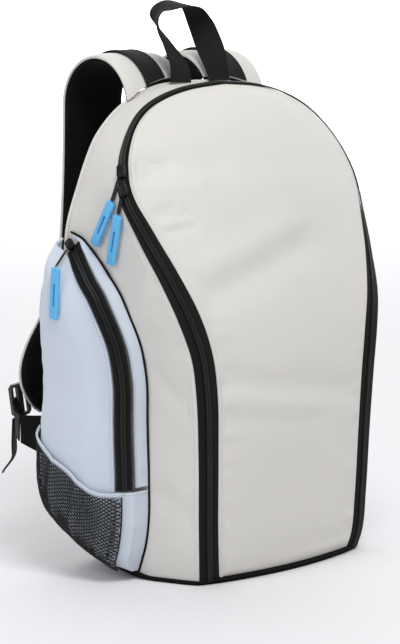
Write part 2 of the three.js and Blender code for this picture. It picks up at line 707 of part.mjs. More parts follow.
// Height of the body's top at its back seam, a distance from the middle.
const topSeam = between(SIDE_END, 1, 4 * TOP_STEPS).map((along) => gussetPoint(along, 1)).reverse();
function topHeight(x) {
  const far = Math.max(topSeam.findIndex((p) => p.x >= Math.abs(x)), 1);
  const [a, b] = [topSeam[far - 1], topSeam[far]];
  return lerp(a.z, b.z, (Math.abs(x) - a.x) / (b.x - a.x));
}

// The frames along a line: run follows it, across is kept square to it and out faces away.
function framesAlong(points, acrosses) {
  return points.map((centre, i) => {
    const before = points[Math.max(i - 1, 0)];
    const after = points[Math.min(i + 1, points.length - 1)];
    const run = after.clone().sub(before).normalize();
    const across = acrosses[i].clone().addScaledVector(run, -acrosses[i].dot(run)).normalize();
    return { centre, across, out: vec().crossVectors(across, run), run };
  });
}

// Grab handle: a loop of webbing that stands on the back seam and turns as it rises.
const HANDLE_STEPS = 24;
const HANDLE_FOOT = topHeight(WEBBING_WIDTH / 2) + SEAM_GAP;
const handlePoint = (along) => {
  const row = handleLine(along);
  const y = ARCH_START - HANDLE_INSET + row.back * HANDLE_BACK;
  return vec(row.over * HANDLE_SPAN / 2, y, HANDLE_FOOT + row.rise * HANDLE_RISE);
};
const handleWidth = (along) => {
  const { twist, tip } = handleLine(along);
  const turned = degToRad(twist);
  return vec(Math.cos(turned), Math.sin(turned), Math.sin(degToRad(tip)));
};
const handleFrames = framesAlong(steps(HANDLE_STEPS).map(handlePoint), steps(HANDLE_STEPS).map(handleWidth));
for (const end of [handleFrames[0], handleFrames.at(-1)]) {
  end.across = vec(Math.sign(end.across.x), 0, 0);
  end.out = vec(0, -1, 0);
}
add('handle', band(handleFrames, WEBBING_WIDTH, WEBBING_THICKNESS, WEBBING_THICKNESS / 2), 'webbing');

// Shoulder straps: up from the back seam, over an arch and down behind the bag.
const STRAP_ARCH_STEPS = 10;
const STRAP_DROP_STEPS = 12;
const STRAP_COLUMNS = 6;
const strapDrop = (along) => {
  const row = strapLine(along);
  return vec(
    STRAP_SPACING / 2 + row.out * STRAP_SPLAY,
    ARCH_START + 2 * ARCH_RADIUS - row.near * STRAP_NEAR,
    ARCH_LEVEL - row.drop * STRAP_DROP,
  );
};
const strapDropFrames = framesAlong(
  steps(STRAP_DROP_STEPS).map(strapDrop),
  steps(STRAP_DROP_STEPS).map(() => vec(1, 0, 0)),
);
strapDropFrames[0].out = vec(0, 1, 0);
strapDropFrames[0].across = vec(1, 0, 0);
function strapPoint(step, offset, level) {
  if (step > STRAP_ARCH_STEPS) {
    const drop = step - STRAP_ARCH_STEPS;
    const frame = strapDropFrames[drop];
    const { width } = strapLine(drop / STRAP_DROP_STEPS);
    return frame.centre.clone()
      .addScaledVector(frame.across, offset * width)
      .addScaledVector(frame.out, level);
  }
  const x = STRAP_SPACING / 2 + offset;
  const rise = Math.max(topHeight(x) + SEAM_GAP - ARCH_LEVEL, 0);
  const foot = Math.asin(clamp(rise / (ARCH_RADIUS - STRAP_THICKNESS / 2), 0, 1));
  const angle = lerp(foot, Math.PI, step / STRAP_ARCH_STEPS);
  return vec(
    x,
    ARCH_START + ARCH_RADIUS - (ARCH_RADIUS + level) * Math.cos(angle),
    ARCH_LEVEL + (ARCH_RADIUS + level) * Math.sin(angle),
  );
}
// A layer of the strap between two levels, thinner at its edges, over part of its width.
function strapLayer(width, low, high, columns, lastStep) {
  const grid = (level, round) => Array.from({ length: lastStep + 1 }, (_, step) => (
    steps(columns).map((t) => {
      const across = 2 * t - 1;
      const pinch = 1 - round * (1 - STRAP_EDGE_SHARE) * Math.pow(Math.abs(across), 6);
      return strapPoint(step, across * width / 2, level * pinch);
    })
  ));
  return [grid(high, 1), grid(low, 1)];
}
const LAST_STEP = STRAP_ARCH_STEPS + STRAP_DROP_STEPS;
const PAD_LOW = -STRAP_THICKNESS / 2;
const PAD_HIGH = STRAP_THICKNESS / 2 - COVER_THICKNESS - SEAM_GAP;
const [padTop, padUnder] = strapLayer(STRAP_WIDTH, PAD_LOW, PAD_HIGH, STRAP_COLUMNS, LAST_STEP);
addPair('strap_padding', padTop, padUnder, 'black');
const coverLow = PAD_HIGH + SEAM_GAP;
const coverRows = (level) => Array.from({ length: LAST_STEP + 1 }, (_, step) => (
  steps(STRAP_COLUMNS).map((t) => {
    const across = 2 * t - 1;
    const pinch = (1 - STRAP_EDGE_SHARE) * Math.pow(Math.abs(across), 6) * PAD_HIGH;
    return strapPoint(step, across * STRAP_WIDTH / 2, level - pinch);
  })
));
addPair('strap_cover', coverRows(coverLow + COVER_THICKNESS), coverRows(coverLow), 'canvas');
const webLow = coverLow + COVER_THICKNESS + SEAM_GAP;
const WEB_END = LAST_STEP - 2;
const webRows = (level) => Array.from({ length: WEB_END + 1 }, (_, step) => (
  [-1, 0, 1].map((across) => strapPoint(step, across * WEBBING_WIDTH / 2, level))
));
addPair('strap_webbing', webRows(webLow + WEBBING_THICKNESS), webRows(webLow), 'webbing');

// A flat plate cut from an outline, with its centre, its length along run and its width across.
function plate(outlineShape, thickness, centre, run, across) {
  const geometry = new THREE.ExtrudeGeometry(outlineShape, { depth: thickness, bevelEnabled: false });
  geometry.translate(0, 0, -thickness / 2);
  geometry.deleteAttribute('normal');
  geometry.deleteAttribute('uv');
  const length = run.clone().normalize();
  const width = across.clone().addScaledVector(length, -across.dot(length)).normalize();
  const basis = new THREE.Matrix4().makeBasis(width, length, vec().crossVectors(width, length));
  return mergeVertices(geometry.applyMatrix4(basis.setPosition(centre)), 1e-3);
}
// A rectangle with cut corners, centred, with slots given by their centre, width and length.
function cutRectangle(width, length, cut, slots = []) {
  const [w, l] = [width / 2, length / 2];
  const corners = [
    [-w + cut, -l], [w - cut, -l], [w, -l + cut], [w, l - cut],
    [w - cut, l], [-w + cut, l], [-w, l - cut], [-w, -l + cut],
  ];
  const shape = new THREE.Shape(corners.map(([x, y]) => new THREE.Vector2(x, y)));
  shape.holes = slots.map((slot) => new THREE.Path([[-1, -1], [-1, 1], [1, 1], [1, -1]].map(([x, y]) => (
    new THREE.Vector2(x * slot.width / 2, slot.centre + y * slot.length / 2)
  ))));
  return shape;
}

// A zip slider with its tab and its pull, from the frame of the zip below it to the pull's tip.
const SLIDER_OUTLINE = cutRectangle(SLIDER_WIDTH, SLIDER_LENGTH, SLIDER_CUT);
const PULL_SLOT = { centre: PULL_SLOT_SET, width: PULL_SLOT_WIDTH, length: PULL_SLOT_LENGTH };
const PULL_OUTLINE = cutRectangle(PULL_WIDTH, PULL_LENGTH, PULL_CUT, [PULL_SLOT]);
function addSlider(name, frame, pull, halfAt) {
  const run = vec().crossVectors(frame.across, frame.out);
  const lift = COIL_GAP + COIL_HEIGHT + SEAM_GAP + SLIDER_HEIGHT / 2;
  const centre = frame.centre.clone().addScaledVector(frame.out, lift);
  add(`${name}_slider`, plate(SLIDER_OUTLINE, SLIDER_HEIGHT, centre, run, frame.across), 'slider');
  const standing = (y, z, gap) => (
    onSide(vec(halfAt(y, z) + PULL_THICKNESS / 2 + gap, y, z), Math.sign(centre.x))
  );
  const neck = standing(centre.y + pull.back, centre.z - pull.drop, pull.neckGap);
  const sink = PULL_LENGTH * Math.sqrt(1 - pull.lean * pull.lean);
  const tip = standing(neck.y + PULL_LENGTH * pull.lean, neck.z - sink, pull.tipGap);
  const fall = tip.sub(neck).normalize();
  const out = vec(Math.sign(neck.x), 0, 0);
  const middle = neck.clone().addScaledVector(fall, TAB_GAP + PULL_LENGTH / 2);
  const across = vec().crossVectors(fall, out);
  add(`${name}_pull`, plate(PULL_OUTLINE, PULL_THICKNESS, middle, fall, across), 'rubber');
  const tab = neck.clone().sub(centre);
  const top = centre.addScaledVector(tab, TAB_START / tab.length());
  tab.subVectors(neck, top);
  const tabShape = cutRectangle(TAB_WIDTH, tab.length(), 1);
  const side = vec().crossVectors(tab, out);
  add(`${name}_tab`, plate(tabShape, TAB_THICKNESS, top.add(neck).multiplyScalar(0.5), tab, side), 'zip');
}

// Where a pull hangs: back and drop lead from the middle of its slider to its neck, lean is the
// share of its length that it falls backwards, and the gaps keep its ends off the cloth.
const UPPER_PULL = { back: 5, drop: 25.8, lean: 0.52, neckGap: 1, tipGap: 1 };
const LOWER_PULL = { back: 4.7, drop: 21.6, lean: 0.27, neckGap: 1, tipGap: 1 };
const POCKET_PULL = { back: -8.5, drop: 16.6, lean: 0.085, neckGap: 3.5, tipGap: 1.5 };

// The two sliders of the lid meet on the left; their pulls hang on the gusset.
const leftFrame = (along) => frameOnSide(zipFrame(along), -1);
addSlider('upper', leftFrame(UPPER_SLIDER), UPPER_PULL, sideHalf);
addSlider('lower', leftFrame(LOWER_SLIDER), LOWER_PULL, sideHalf);

// One slider on each side pocket, at the top of its zip.
const pocketHalf = (y, z) => sideHalf(y, z) + pocketOut(y, z);
for (const { side, label } of SIDES) {
  addSlider(`${label}_pocket`, frameOnSide(pocketZipFrames.at(-1), side), POCKET_PULL, pocketHalf);
}

// Strap ends: webbing to a ladder buckle, its hanging tail and the way to a wing on the body.
const WEB_LIFT = WEBBING_THICKNESS / 2;
function addWebbing(name, points, widths) {
  const frames = framesAlong(points, widths);
  addBandPair(name, frames, WEBBING_WIDTH, WEBBING_THICKNESS, 'webbing', WEB_LIFT);
}
const strapEnd = vec(0.15, 0, 0.98);
const fromTip = (x, y, z) => (
  vec(STRAP_SPACING / 2 + STRAP_SPLAY, ARCH_START + 2 * ARCH_RADIUS - STRAP_NEAR, ARCH_LEVEL - STRAP_DROP)
    .add(vec(x, y, z))
);
const fromWing = (x, y, z) => vec(BACK_WIDTH / 2 + x, BODY_DEPTH + y, WING_LEVEL + z);
addWebbing(
  'buckle_webbing',
  [fromTip(-6, 7.6, 23), fromTip(5, 9.2, 19), fromTip(15, 10.8, 15)],
  [strapEnd, strapEnd, strapEnd],
);
const buckleSlot = (centre) => ({ centre, width: WEBBING_WIDTH + 1, length: BUCKLE_SLOT });
const buckleShape = cutRectangle(BUCKLE_WIDTH, BUCKLE_LENGTH, BUCKLE_CUT, [
  buckleSlot(-BUCKLE_LENGTH / 4), buckleSlot(BUCKLE_LENGTH / 4),
]);
for (const { side, label } of SIDES) {
  const centre = onSide(fromTip(17, 14.8, 11.5), side);
  const run = vec(side, 0.05, -0.15);
  add(`${label}_buckle`, plate(buckleShape, BUCKLE_THICKNESS, centre, run, onSide(strapEnd, side)), 'black');
}
const tailWidth = vec(0.73, -0.68, 0);
addWebbing(
  'strap_tail',
  [fromTip(23, 15, -5.1), fromTip(25, 14, -25), fromTip(26, 14, -40), fromTip(37, 15, -53)],
  [tailWidth, tailWidth, tailWidth, tailWidth],
);
addWebbing(
  'adjust_webbing',
  [fromTip(20, 9.3, 6), fromTip(28, 7, 0), fromWing(10, 47, 8), fromWing(15.6, 35.2, 6)],
  [strapEnd, strapEnd, vec(0.1, 0, 1), vec(0, 0, 1)],
);

// Wing: a tab of cloth from the back seam that holds the end of the webbing.
const wingEdge = (x, y, low, high) => [fromWing(x, y, low), fromWing(x, y, high)];
const wing = [
  wingEdge(0.5, 2.5, -20, 21),
  wingEdge(7.5, 18, -14, 19),
  wingEdge(14.5, 33.5, -7, 18),
];
addPair('wing', behind(wing, -WING_THICKNESS), wing, 'black');

// The bag stands with its origin under the middle of all of it.
const bounds = new THREE.Box3().setFromObject(bag);
bag.position.y = -(bounds.min.y + bounds.max.y) / 2;
export default bag;
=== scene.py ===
"""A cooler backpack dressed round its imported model: cloth, zips, nets, webbing, buckles and pulls.

Shapes are worked out in millimetres with +Z up and the lid facing -Y, as the model was, and
placed() moves them into the row frame. A form of the right side is mirrored for the left.
"""

import math

import bmesh
import bpy
import numpy as np
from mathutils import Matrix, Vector


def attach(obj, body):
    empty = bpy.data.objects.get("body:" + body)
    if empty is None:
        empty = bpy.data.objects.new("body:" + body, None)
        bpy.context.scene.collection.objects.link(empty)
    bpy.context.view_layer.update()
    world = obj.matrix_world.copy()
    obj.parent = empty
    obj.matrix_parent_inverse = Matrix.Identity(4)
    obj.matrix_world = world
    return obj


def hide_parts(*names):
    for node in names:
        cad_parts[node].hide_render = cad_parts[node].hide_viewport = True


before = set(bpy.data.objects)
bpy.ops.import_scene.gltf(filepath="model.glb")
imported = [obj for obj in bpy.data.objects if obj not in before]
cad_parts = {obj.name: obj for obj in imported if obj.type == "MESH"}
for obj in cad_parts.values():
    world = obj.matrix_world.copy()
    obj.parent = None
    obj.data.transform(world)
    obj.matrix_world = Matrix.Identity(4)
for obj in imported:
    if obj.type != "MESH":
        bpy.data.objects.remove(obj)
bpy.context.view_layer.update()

# Sizes of the model, in millimetres
ROW_SHIFT = 98.795
BODY_HEIGHT, BODY_DEPTH, BACK_LEAN = 436, 142, 22
ZIP_WIDTH, BACK_WIDTH = 286, 300
SIDE_BULGE, LID_CROWN, LID_GAP = 4, 34, 1
BODY_WALL, BASE_WALL, SEAM_GAP = 4, 3.5, 0.4
CORNER_RADIUS, CORNER_START = 80, 48
CORNER_GROWTH, EDGE_SHARE = 1.5, 0.625
BACK_THICKNESS, BACK_EDGE = 9, 3
MAIN_BAND, POCKET_BAND, TAPE_THICKNESS = 20, 15, 1.4
COIL_GAP = 0.6
POCKET_HEIGHT, POCKET_DEPTH, POCKET_SWELL = 308, 28, 7
POCKET_CORNER, POCKET_TIP = 16, 40
POCKET_FRONT_GROWTH, POCKET_REAR_GROWTH = 14, 64
POCKET_WALL, POCKET_STAND, POCKET_TRIM, WALL_TRIM = 2, 0.8, 1.3, 2.6
POCKET_BEND, WALL_SHARE, BEND_SHARE = 10.5, 0.62, 0.98
EDGE_TAPER, EDGE_TAPER_START = 0.3, 0.8
PANEL_FOOT, PANEL_TIP, PANEL_FOOT_ROWS, PANEL_TURN = 0.058, 0.975, 5, 0.24
SWELL_END, POCKET_FOOT = 0.6, 0.016
PANEL_BLEND = 26
WING_LEVEL, WING_THICKNESS, WING_BULGE = 120, 2.2, 0.5
STITCH_INSET, STITCH_LIFT, HEM_SLOPE, GROOVE = 3.4, 0.1, 1.4, 0.9
BASE_PIPING, BACK_PIPING, POCKET_PIPING, STRAP_PIPING = 1.4, 1.5, 1.0, 1.5
STRIP_STEP, HANDLE_STEP, STRAP_STEP = 0.01, 0.02, 1 / 12
REAR_TIP, REAR_START = 0.985, 4.5
ZIP_FOOT_SHARE, ZIP_TIP_SHARE = 85 / 308, 0.98
NET_STAND, NET_HEM, NET_OPEN = 1.5, 5, 1.5
NET_START, NET_REAR, NET_TURN = 6, 4, 0.07
BINDING_WIDTH, BINDING_THICKNESS = 4, 1.8
WEBBING_WIDTH, WEBBING_THICKNESS = 25, 1.8
HANDLE_SPAN, HANDLE_RISE, HANDLE_BACK, HANDLE_INSET = 64, 70, 25, 5
STRAP_WIDTH, STRAP_SPACING, STRAP_THICKNESS = 68, 100, 9
COVER_THICKNESS, ARCH_RADIUS = 1.6, 44
ARCH_LEVEL = BODY_HEIGHT - 22
ARCH_START = BODY_DEPTH - BACK_LEAN - 1
STRAP_DROP, STRAP_SPLAY, STRAP_NEAR = 280, 74, 15
SIDE_END = 0.66
BAND_TOE = math.radians(12)
BULGE_LEAD = 0.6

# Outline of the body from a foot of the zip to the top of its arch, as shares of those sizes.
OUTLINE_COLUMNS = ("along", "rise", "half", "deep", "back_rise", "back_half", "crown", "turn", "tape")
OUTLINE = (
    (0, 0, 0.642, 0.025, 0, 1, 0.25, 0, 0.94),
    (0.028, 0.034, 0.664, 0.004, 0.034, 1, 0.28, 0, 0.93),
    (0.095, 0.12, 0.681, -0.009, 0.12, 1, 0.33, 0, 0.92),
    (0.205, 0.26, 0.694, -0.023, 0.26, 1, 0.38, 0, 0.94),
    (0.308, 0.39, 0.715, -0.032, 0.39, 1, 0.38, 0, 1),
    (0.371, 0.47, 0.748, -0.024, 0.47, 1, 0.38, 0, 1),
    (0.438, 0.55, 0.813, 0.025, 0.55, 1, 0.42, 0.1, 1),
    (0.508, 0.63, 0.883, 0.127, 0.63, 0.993, 0.55, 0.25, 0.86),
    (0.582, 0.711, 0.951, 0.261, 0.711, 0.98, 0.76, 0.4, 0.73),
    (0.66, 0.796, 1, 0.398, 0.798, 0.91, 0.97, 0.55, 0.56),
    (0.705, 0.849, 0.955, 0.467, 0.851, 0.853, 0.93, 0.66, 0.44),
    (0.75, 0.894, 0.874, 0.523, 0.896, 0.787, 0.87, 0.78, 0.37),
    (0.786, 0.928, 0.78, 0.563, 0.93, 0.7, 0.78, 0.86, 0.33),
    (0.825, 0.955, 0.661, 0.594, 0.957, 0.6, 0.63, 0.92, 0.33),
    (0.869, 0.976, 0.503, 0.612, 0.979, 0.473, 0.44, 0.96, 0.33),
    (0.922, 0.991, 0.301, 0.62, 0.995, 0.293, 0.2, 1, 0.33),
    (1, 1, 0, 0.62, 1, 0, 0, 1, 0.33),
)
POCKET_SEAM = (
    (0.016, 0.43), (0.107, 0.366), (0.19, 0.343), (0.28, 0.342), (0.48, 0.352),
    (0.58, 0.347), (0.63, 0.353), (0.7, 0.368), (0.79, 0.417), (0.845, 0.46),
    (0.88, 0.514), (0.93, 0.607), (0.967, 0.71), (0.99, 0.82), (1, 0.95),
)
NET_TOP = ((0, 0.262), (0.3, 0.27), (0.55, 0.325), (0.8, 0.37), (1, 0.436))
HANDLE_COLUMNS = ("along", "over", "rise", "back", "twist", "tip")
HANDLE = (
    (0, -0.75, 0, 0, 0, 0), (0.1, -0.74, 0.22, 0.12, 8, 0), (0.2, -0.85, 0.46, 0.5, 28, 0),
    (0.3, -1, 0.7, 0.85, 48, 5), (0.4, -0.9, 0.9, 1, 68, 12), (0.5, -0.35, 1, 1, 90, 14),
    (0.6, 0.3, 0.96, 1, 100, 8), (0.7, 0.62, 0.76, 0.9, 112, 0), (0.8, 0.74, 0.5, 0.6, 130, 0),
    (0.9, 0.76, 0.22, 0.2, 160, 0), (1, 0.76, 0, 0, 180, 0),
)
STRAP_COLUMNS = ("along", "drop", "out", "near", "width")
STRAP = (
    (0, 0, 0, 0, 1), (0.2, 0.2, 0, -0.1, 1), (0.4, 0.42, 0.06, 0, 1), (0.6, 0.6, 0.19, 0.3, 1),
    (0.75, 0.74, 0.53, 0.6, 1), (0.9, 0.89, 0.94, 0.85, 0.92), (1, 1, 1.02, 1, 0.5),
)


# Points and vectors
def points(*coordinates):
    return np.stack(np.broadcast_arrays(*[np.asarray(c, float) for c in coordinates]), -1)


def dot(a, b):
    return (a * b).sum(-1, keepdims=True)


def unit(v):
    return v / np.maximum(np.linalg.norm(v, axis=-1, keepdims=True), 1e-9)


def square_to(v, run):
    """v without what it has along run, as a unit vector."""
    return unit(v - run * dot(v, run))


def frames_at(centre, across, run):
    """Frames of a strip: its centre, the direction across it, made square to its run, and out."""
    across = square_to(across, run)
    return centre, across, np.cross(across, run)


def heading(curve, t, step):
    """The direction of a curve at t, which runs from 0 to 1."""
    return unit(curve(np.minimum(t + step, 1)) - curve(np.maximum(t - step, 0)))


def lerp(a, b, t):
    return a + (b - a) * t


def smoothstep(value, low, high):
    t = np.clip((value - low) / (high - low), 0, 1)
    return t * t * (3 - 2 * t)


def smooth(names, rows, key):
    """The columns of a table as smooth curves of the one named key."""
    table = np.array(rows, float)
    x = table[:, names.index(key)]
    last = len(x) - 1

    def at(t):
        t = np.clip(np.asarray(t, float), x[0], x[-1])
        i = np.clip(np.searchsorted(x, t, "right") - 1, 0, last - 1)
        t0, t1 = x[i], x[i + 1]
        before = np.where(i == 0, i + 1, i - 1)
        after = np.where(i == last - 1, i, i + 2)
        half = (t1 - t0) / 2
        wp, wn = half / (t0 - x[before]), half / (x[after] - t1)
        p = (t - t0) / (t1 - t0)
        weights = (
            (before, -wp * p**3 + 2 * wp * p**2 - wp * p),
            (i, (1 + wp) * p**3 - (1.5 + 2 * wp) * p**2 + (wp - 0.5) * p + 1),
            (i + 1, -(1 + wn) * p**3 + (1.5 + wn) * p**2 + 0.5 * p),
            (after, wn * p**3 - wn * p**2),
        )
        found = sum(w[..., None] * table[k] for k, w in weights)
        return {name: found[..., c] for c, name in enumerate(names)}

    return at


outline = smooth(OUTLINE_COLUMNS, OUTLINE, "along")
side_outline = smooth(OUTLINE_COLUMNS, [r for r in OUTLINE if r[0] <= SIDE_END], "rise")
pocket_seam = smooth(("rise", "set"), POCKET_SEAM, "rise")
net_top = smooth(("across", "rise"), NET_TOP, "across")
handle_line = smooth(HANDLE_COLUMNS, HANDLE, "along")
strap_line = smooth(STRAP_COLUMNS, STRAP, "along")
SIDE_HEIGHT = BODY_HEIGHT * float(outline(SIDE_END)["rise"])
BASE_LIFT = BASE_WALL + SEAM_GAP

LATTICE = np.random.default_rng(11).random((32, 32, 32))


def noise(p, size, seed=0):
    """Smooth noise from -1 to 1 at points, with a cell of that size, or of one size per axis."""
    q = p / np.asarray(size, float) + 9.37 * seed + 100
    cell = np.floor(q).astype(int)
    f = q - cell
    f = f * f * (3 - 2 * f)
    total = 0
    for corner in np.ndindex(2, 2, 2):
        weight = np.prod(np.where(np.array(corner) == 1, f, 1 - f), axis=-1)
        at = (cell + corner) % 32
        total = total + weight * LATTICE[at[..., 0], at[..., 1], at[..., 2]]
    return 2 * total - 1


def distance(p, line):
    """How far each point is from a line of points."""
    line = np.asarray(line, float)
    best = np.full(p.shape[:-1], 1e9)
    for a, b in zip(line[:-1], line[1:]):
        ab = b - a
        t = np.clip(((p - a) @ ab) / max(ab @ ab, 1e-9), 0, 1)
        best = np.minimum(best, np.linalg.norm(p - a - t[..., None] * ab, axis=-1))
    return best


def hump(away, width):
    """A soft hump: 1 at no distance away, and almost nothing past twice its width."""
    return np.exp(-((away / width) ** 2))


def folds(p, rows):
    """Soft ridges along lines, or valleys where the height is negative. Each row has its line,
    its width and its height."""
    return sum(height * hump(distance(p, line), width) for line, width, height in rows)


def hem(edge, width, rise, dip):
    """A doubled edge of cloth, with a groove along its stitches."""
    return rise * (1 - smoothstep(edge, width, width + HEM_SLOPE)) - dip * hump(edge - STITCH_INSET, GROOVE)


def two_spans(bend, end, first, second):
    """Numbers from 0 over a bend to an end, with that many evenly spaced ones in each span."""
    return np.concatenate([np.linspace(0, bend, first), np.linspace(bend, end, second)[1:]])


# The body
def back_depth(z):
    return BODY_DEPTH - BACK_LEAN * np.clip(z / BODY_HEIGHT, 0, 1) ** CORNER_GROWTH


def corner_radius(y):
    share = np.clip((y - CORNER_START) / (BODY_DEPTH - CORNER_START), 0, 1)
    return CORNER_RADIUS * share**CORNER_GROWTH


def base_edge(y):
    return EDGE_SHARE * corner_radius(y)


def corner_inset(y, z):
    radius = corner_radius(y)
    short = np.maximum(radius - z, 0)
    return radius - np.sqrt(np.maximum(radius * radius - short * short, 0))


def lift_off_base(y, z):
    return z + (base_edge(y) + BASE_LIFT) * np.maximum(1 - z / SIDE_HEIGHT, 0)


def zip_centre(along):
    row = outline(along)
    return points(row["half"] * ZIP_WIDTH / 2, row["deep"] * BODY_DEPTH, row["rise"] * BODY_HEIGHT)


def zip_frame(along):
    """Centre, direction across the band towards the back, and out, of the right half of the zip."""
    along = np.asarray(along, float)
    row = outline(along)
    run = heading(zip_centre, along, STRIP_STEP)
    run = np.where((along >= 1)[..., None], np.array([-1.0, 0, 0]), run)
    low = np.array([math.cos(BAND_TOE), math.sin(BAND_TOE), 0])
    high = np.array([0, math.cos(BAND_TOE), math.sin(BAND_TOE)])
    centre = zip_centre(along)
    centre[..., 2] = lift_off_base(0, centre[..., 2])
    return frames_at(centre, lerp(low, high, row["turn"][..., None]), run)


def band_point(along, across, out):
    centre, over, outward = zip_frame(along)
    return centre + over * np.asarray(across)[..., None] + outward * np.asarray(out)[..., None]


def gusset_point(along, share):
    """A point of the right gusset, from behind the zip (share 0) to the back seam (share 1)."""
    along, share = np.broadcast_arrays(np.asarray(along, float), np.asarray(share, float))
    row = outline(along)
    front = band_point(along, row["tape"] * MAIN_BAND / 2, np.full(along.shape, -TAPE_THICKNESS - SEAM_GAP))
    low = along <= SIDE_END
    flat_z = row["back_rise"] * BODY_HEIGHT
    back_z = np.where(low, lift_off_base(BODY_DEPTH, flat_z), flat_z)
    back = points(row["back_half"] * BACK_WIDTH / 2, back_depth(back_z), back_z)
    p = lerp(front, back, share[..., None])
    swell = np.sin(np.pi * np.clip(share, 0, 1) ** BULGE_LEAD) * (1 - np.minimum(row["turn"], 1))
    x, y, z = p[..., 0] + SIDE_BULGE * swell, p[..., 1], p[..., 2]
    level = lerp(row["rise"], row["back_rise"], share) * BODY_HEIGHT
    tilt = front[..., 2] - lift_off_base(0, row["rise"] * BODY_HEIGHT)
    z_low = np.maximum(lift_off_base(y, level) + tilt * (1 - share), lift_off_base(y, 0))
    z = np.where(low, z_low, z)
    x = np.where(low, x - corner_inset(y, z), x)
    return points(x, y, z)


def lid_point(along, across):
    """A point of the lid: across runs from 1 at the right zip to -1 at the left one."""
    row = outline(along)
    edge = band_point(along, -row["tape"] * MAIN_BAND / 2 - LID_GAP, np.zeros(np.shape(along)))
    crown = row["crown"] * LID_CROWN * (1 - np.asarray(across) ** 2)
    return points(edge[..., 0] * across, edge[..., 1] - crown, edge[..., 2])


def side_half(y, z):
    """Half width of the body at a depth and a height on its side."""
    lift = base_edge(y) + BASE_LIFT
    level = (z - lift) / (1 - lift / SIDE_HEIGHT)
    along = side_outline(np.clip(level, 0, SIDE_HEIGHT) / BODY_HEIGHT)["along"]
    front, back = gusset_point(along, 0)[..., 1], gusset_point(along, 1)[..., 1]
    return gusset_point(along, np.clip((y - front) / (back - front), 0, 1))[..., 0]


TOP_SEAM = gusset_point(np.linspace(1, SIDE_END, 120), 1)


def top_height(x):
    return np.interp(np.abs(x), TOP_SEAM[:, 0], TOP_SEAM[:, 2])


# Side pockets
def quarter(t):
    return np.sqrt(1 - (1 - np.clip(t, 0, 1)) ** 2)


def pocket_reach(y, z):
    back = np.clip((y - CORNER_START) / (BODY_DEPTH - CORNER_START), 0, 1)
    growth = lerp(POCKET_FRONT_GROWTH, POCKET_REAR_GROWTH, back)
    foot = quarter((z - base_edge(y) - BASE_LIFT) / growth)
    depth = POCKET_DEPTH + POCKET_SWELL * smoothstep(back, 0, SWELL_END)
    return depth * foot * quarter((POCKET_HEIGHT - z) / POCKET_TIP)


def pocket_out(y, z):
    return POCKET_STAND + pocket_reach(y, z) * quarter((back_depth(z) - y) / POCKET_CORNER)


def on_pocket(y, z, out):
    return points(side_half(y, z) + out, y, z)


def seam_point(rise):
    z = np.asarray(rise, float) * POCKET_HEIGHT
    front = side_outline(z / BODY_HEIGHT)["deep"] * BODY_DEPTH
    return lerp(front, back_depth(z), pocket_seam(rise)["set"]), z


def seam_inset(rise, inset):
    near_y, near_z = seam_point(np.maximum(rise - STRIP_STEP, POCKET_FOOT))
    far_y, far_z = seam_point(np.minimum(rise + STRIP_STEP, 1))
    length = np.hypot(far_y - near_y, far_z - near_z)
    y, z = seam_point(rise)
    return y + inset * (far_z - near_z) / length, z - inset * (far_y - near_y) / length


def edge_out(rise, share):
    """How far the pocket's edge stands off the body: less towards its tip."""
    taper = 1 - EDGE_TAPER * smoothstep(rise, EDGE_TAPER_START, 1)
    return np.maximum(POCKET_STAND, taper * share * pocket_reach(*seam_point(rise)))


def pocket_edge(rise, inset, share):
    rise = np.asarray(rise, float)
    return on_pocket(*seam_inset(rise, inset), edge_out(rise, share))


def pocket_zip_frames(rise):
    near, far = pocket_edge(rise, 0, WALL_SHARE), pocket_edge(rise, POCKET_BEND, BEND_SHARE)
    before = pocket_edge(np.maximum(rise - STRIP_STEP, POCKET_FOOT), 0, WALL_SHARE)
    run = unit(pocket_edge(rise + STRIP_STEP, 0, WALL_SHARE) - before)
    return frames_at(lerp(near, far, 0.5), far - near, run)


def rear_edge(share):
    foot_y, _ = seam_inset(PANEL_FOOT, POCKET_BEND + POCKET_TRIM)
    corner_z = base_edge(BODY_DEPTH) + BASE_LIFT + POCKET_STAND
    y_foot = lerp(foot_y + REAR_START, BODY_DEPTH - POCKET_STAND, share / PANEL_TURN)
    z_side = lerp(corner_z, POCKET_HEIGHT * REAR_TIP, (share - PANEL_TURN) / (1 - PANEL_TURN))
    low = share < PANEL_TURN
    y = np.where(low, y_foot, back_depth(z_side) - POCKET_STAND)
    return y, np.where(low, base_edge(y_foot) + BASE_LIFT + POCKET_STAND, z_side)


def panel_point(share, t):
    trim = POCKET_TRIM * (1 + 2 * np.maximum(1 - share * PANEL_FOOT_ROWS, 0))
    rise = lerp(PANEL_FOOT, PANEL_TIP, share)
    front_y, front_z = seam_inset(rise, POCKET_BEND + trim)
    rear_y, rear_z = rear_edge(share)
    y, z = lerp(front_y, rear_y, t), lerp(front_z, rear_z, t)
    # The panel's front edge comes down to the zip, which lies lower towards the tip.
    edge = edge_out(rise, BEND_SHARE)
    run = t * np.hypot(rear_y - front_y, rear_z - front_z)
    full = pocket_out(y, z)
    return on_pocket(y, z, np.minimum(full, lerp(edge, full, smoothstep(run, 0, PANEL_BLEND))))


def net_base(y, z):
    seam_y, _ = seam_point(z / POCKET_HEIGHT)
    share = lerp(WALL_SHARE, BEND_SHARE, (y - seam_y) / POCKET_BEND)
    return np.minimum(pocket_out(y, z), share * pocket_reach(seam_y, z))


def net_point(across, up):
    top = net_top(across)["rise"] * POCKET_HEIGHT
    z = top / 2
    for _ in range(4):
        y = lerp(seam_point(z / POCKET_HEIGHT)[0] + NET_START, back_depth(z) - NET_REAR, across)
        z = lerp(base_edge(y) + BASE_LIFT + NET_HEM, top, up)
    return on_pocket(y, z, np.where(across < NET_TURN, net_base(y, z), pocket_out(y, z)))


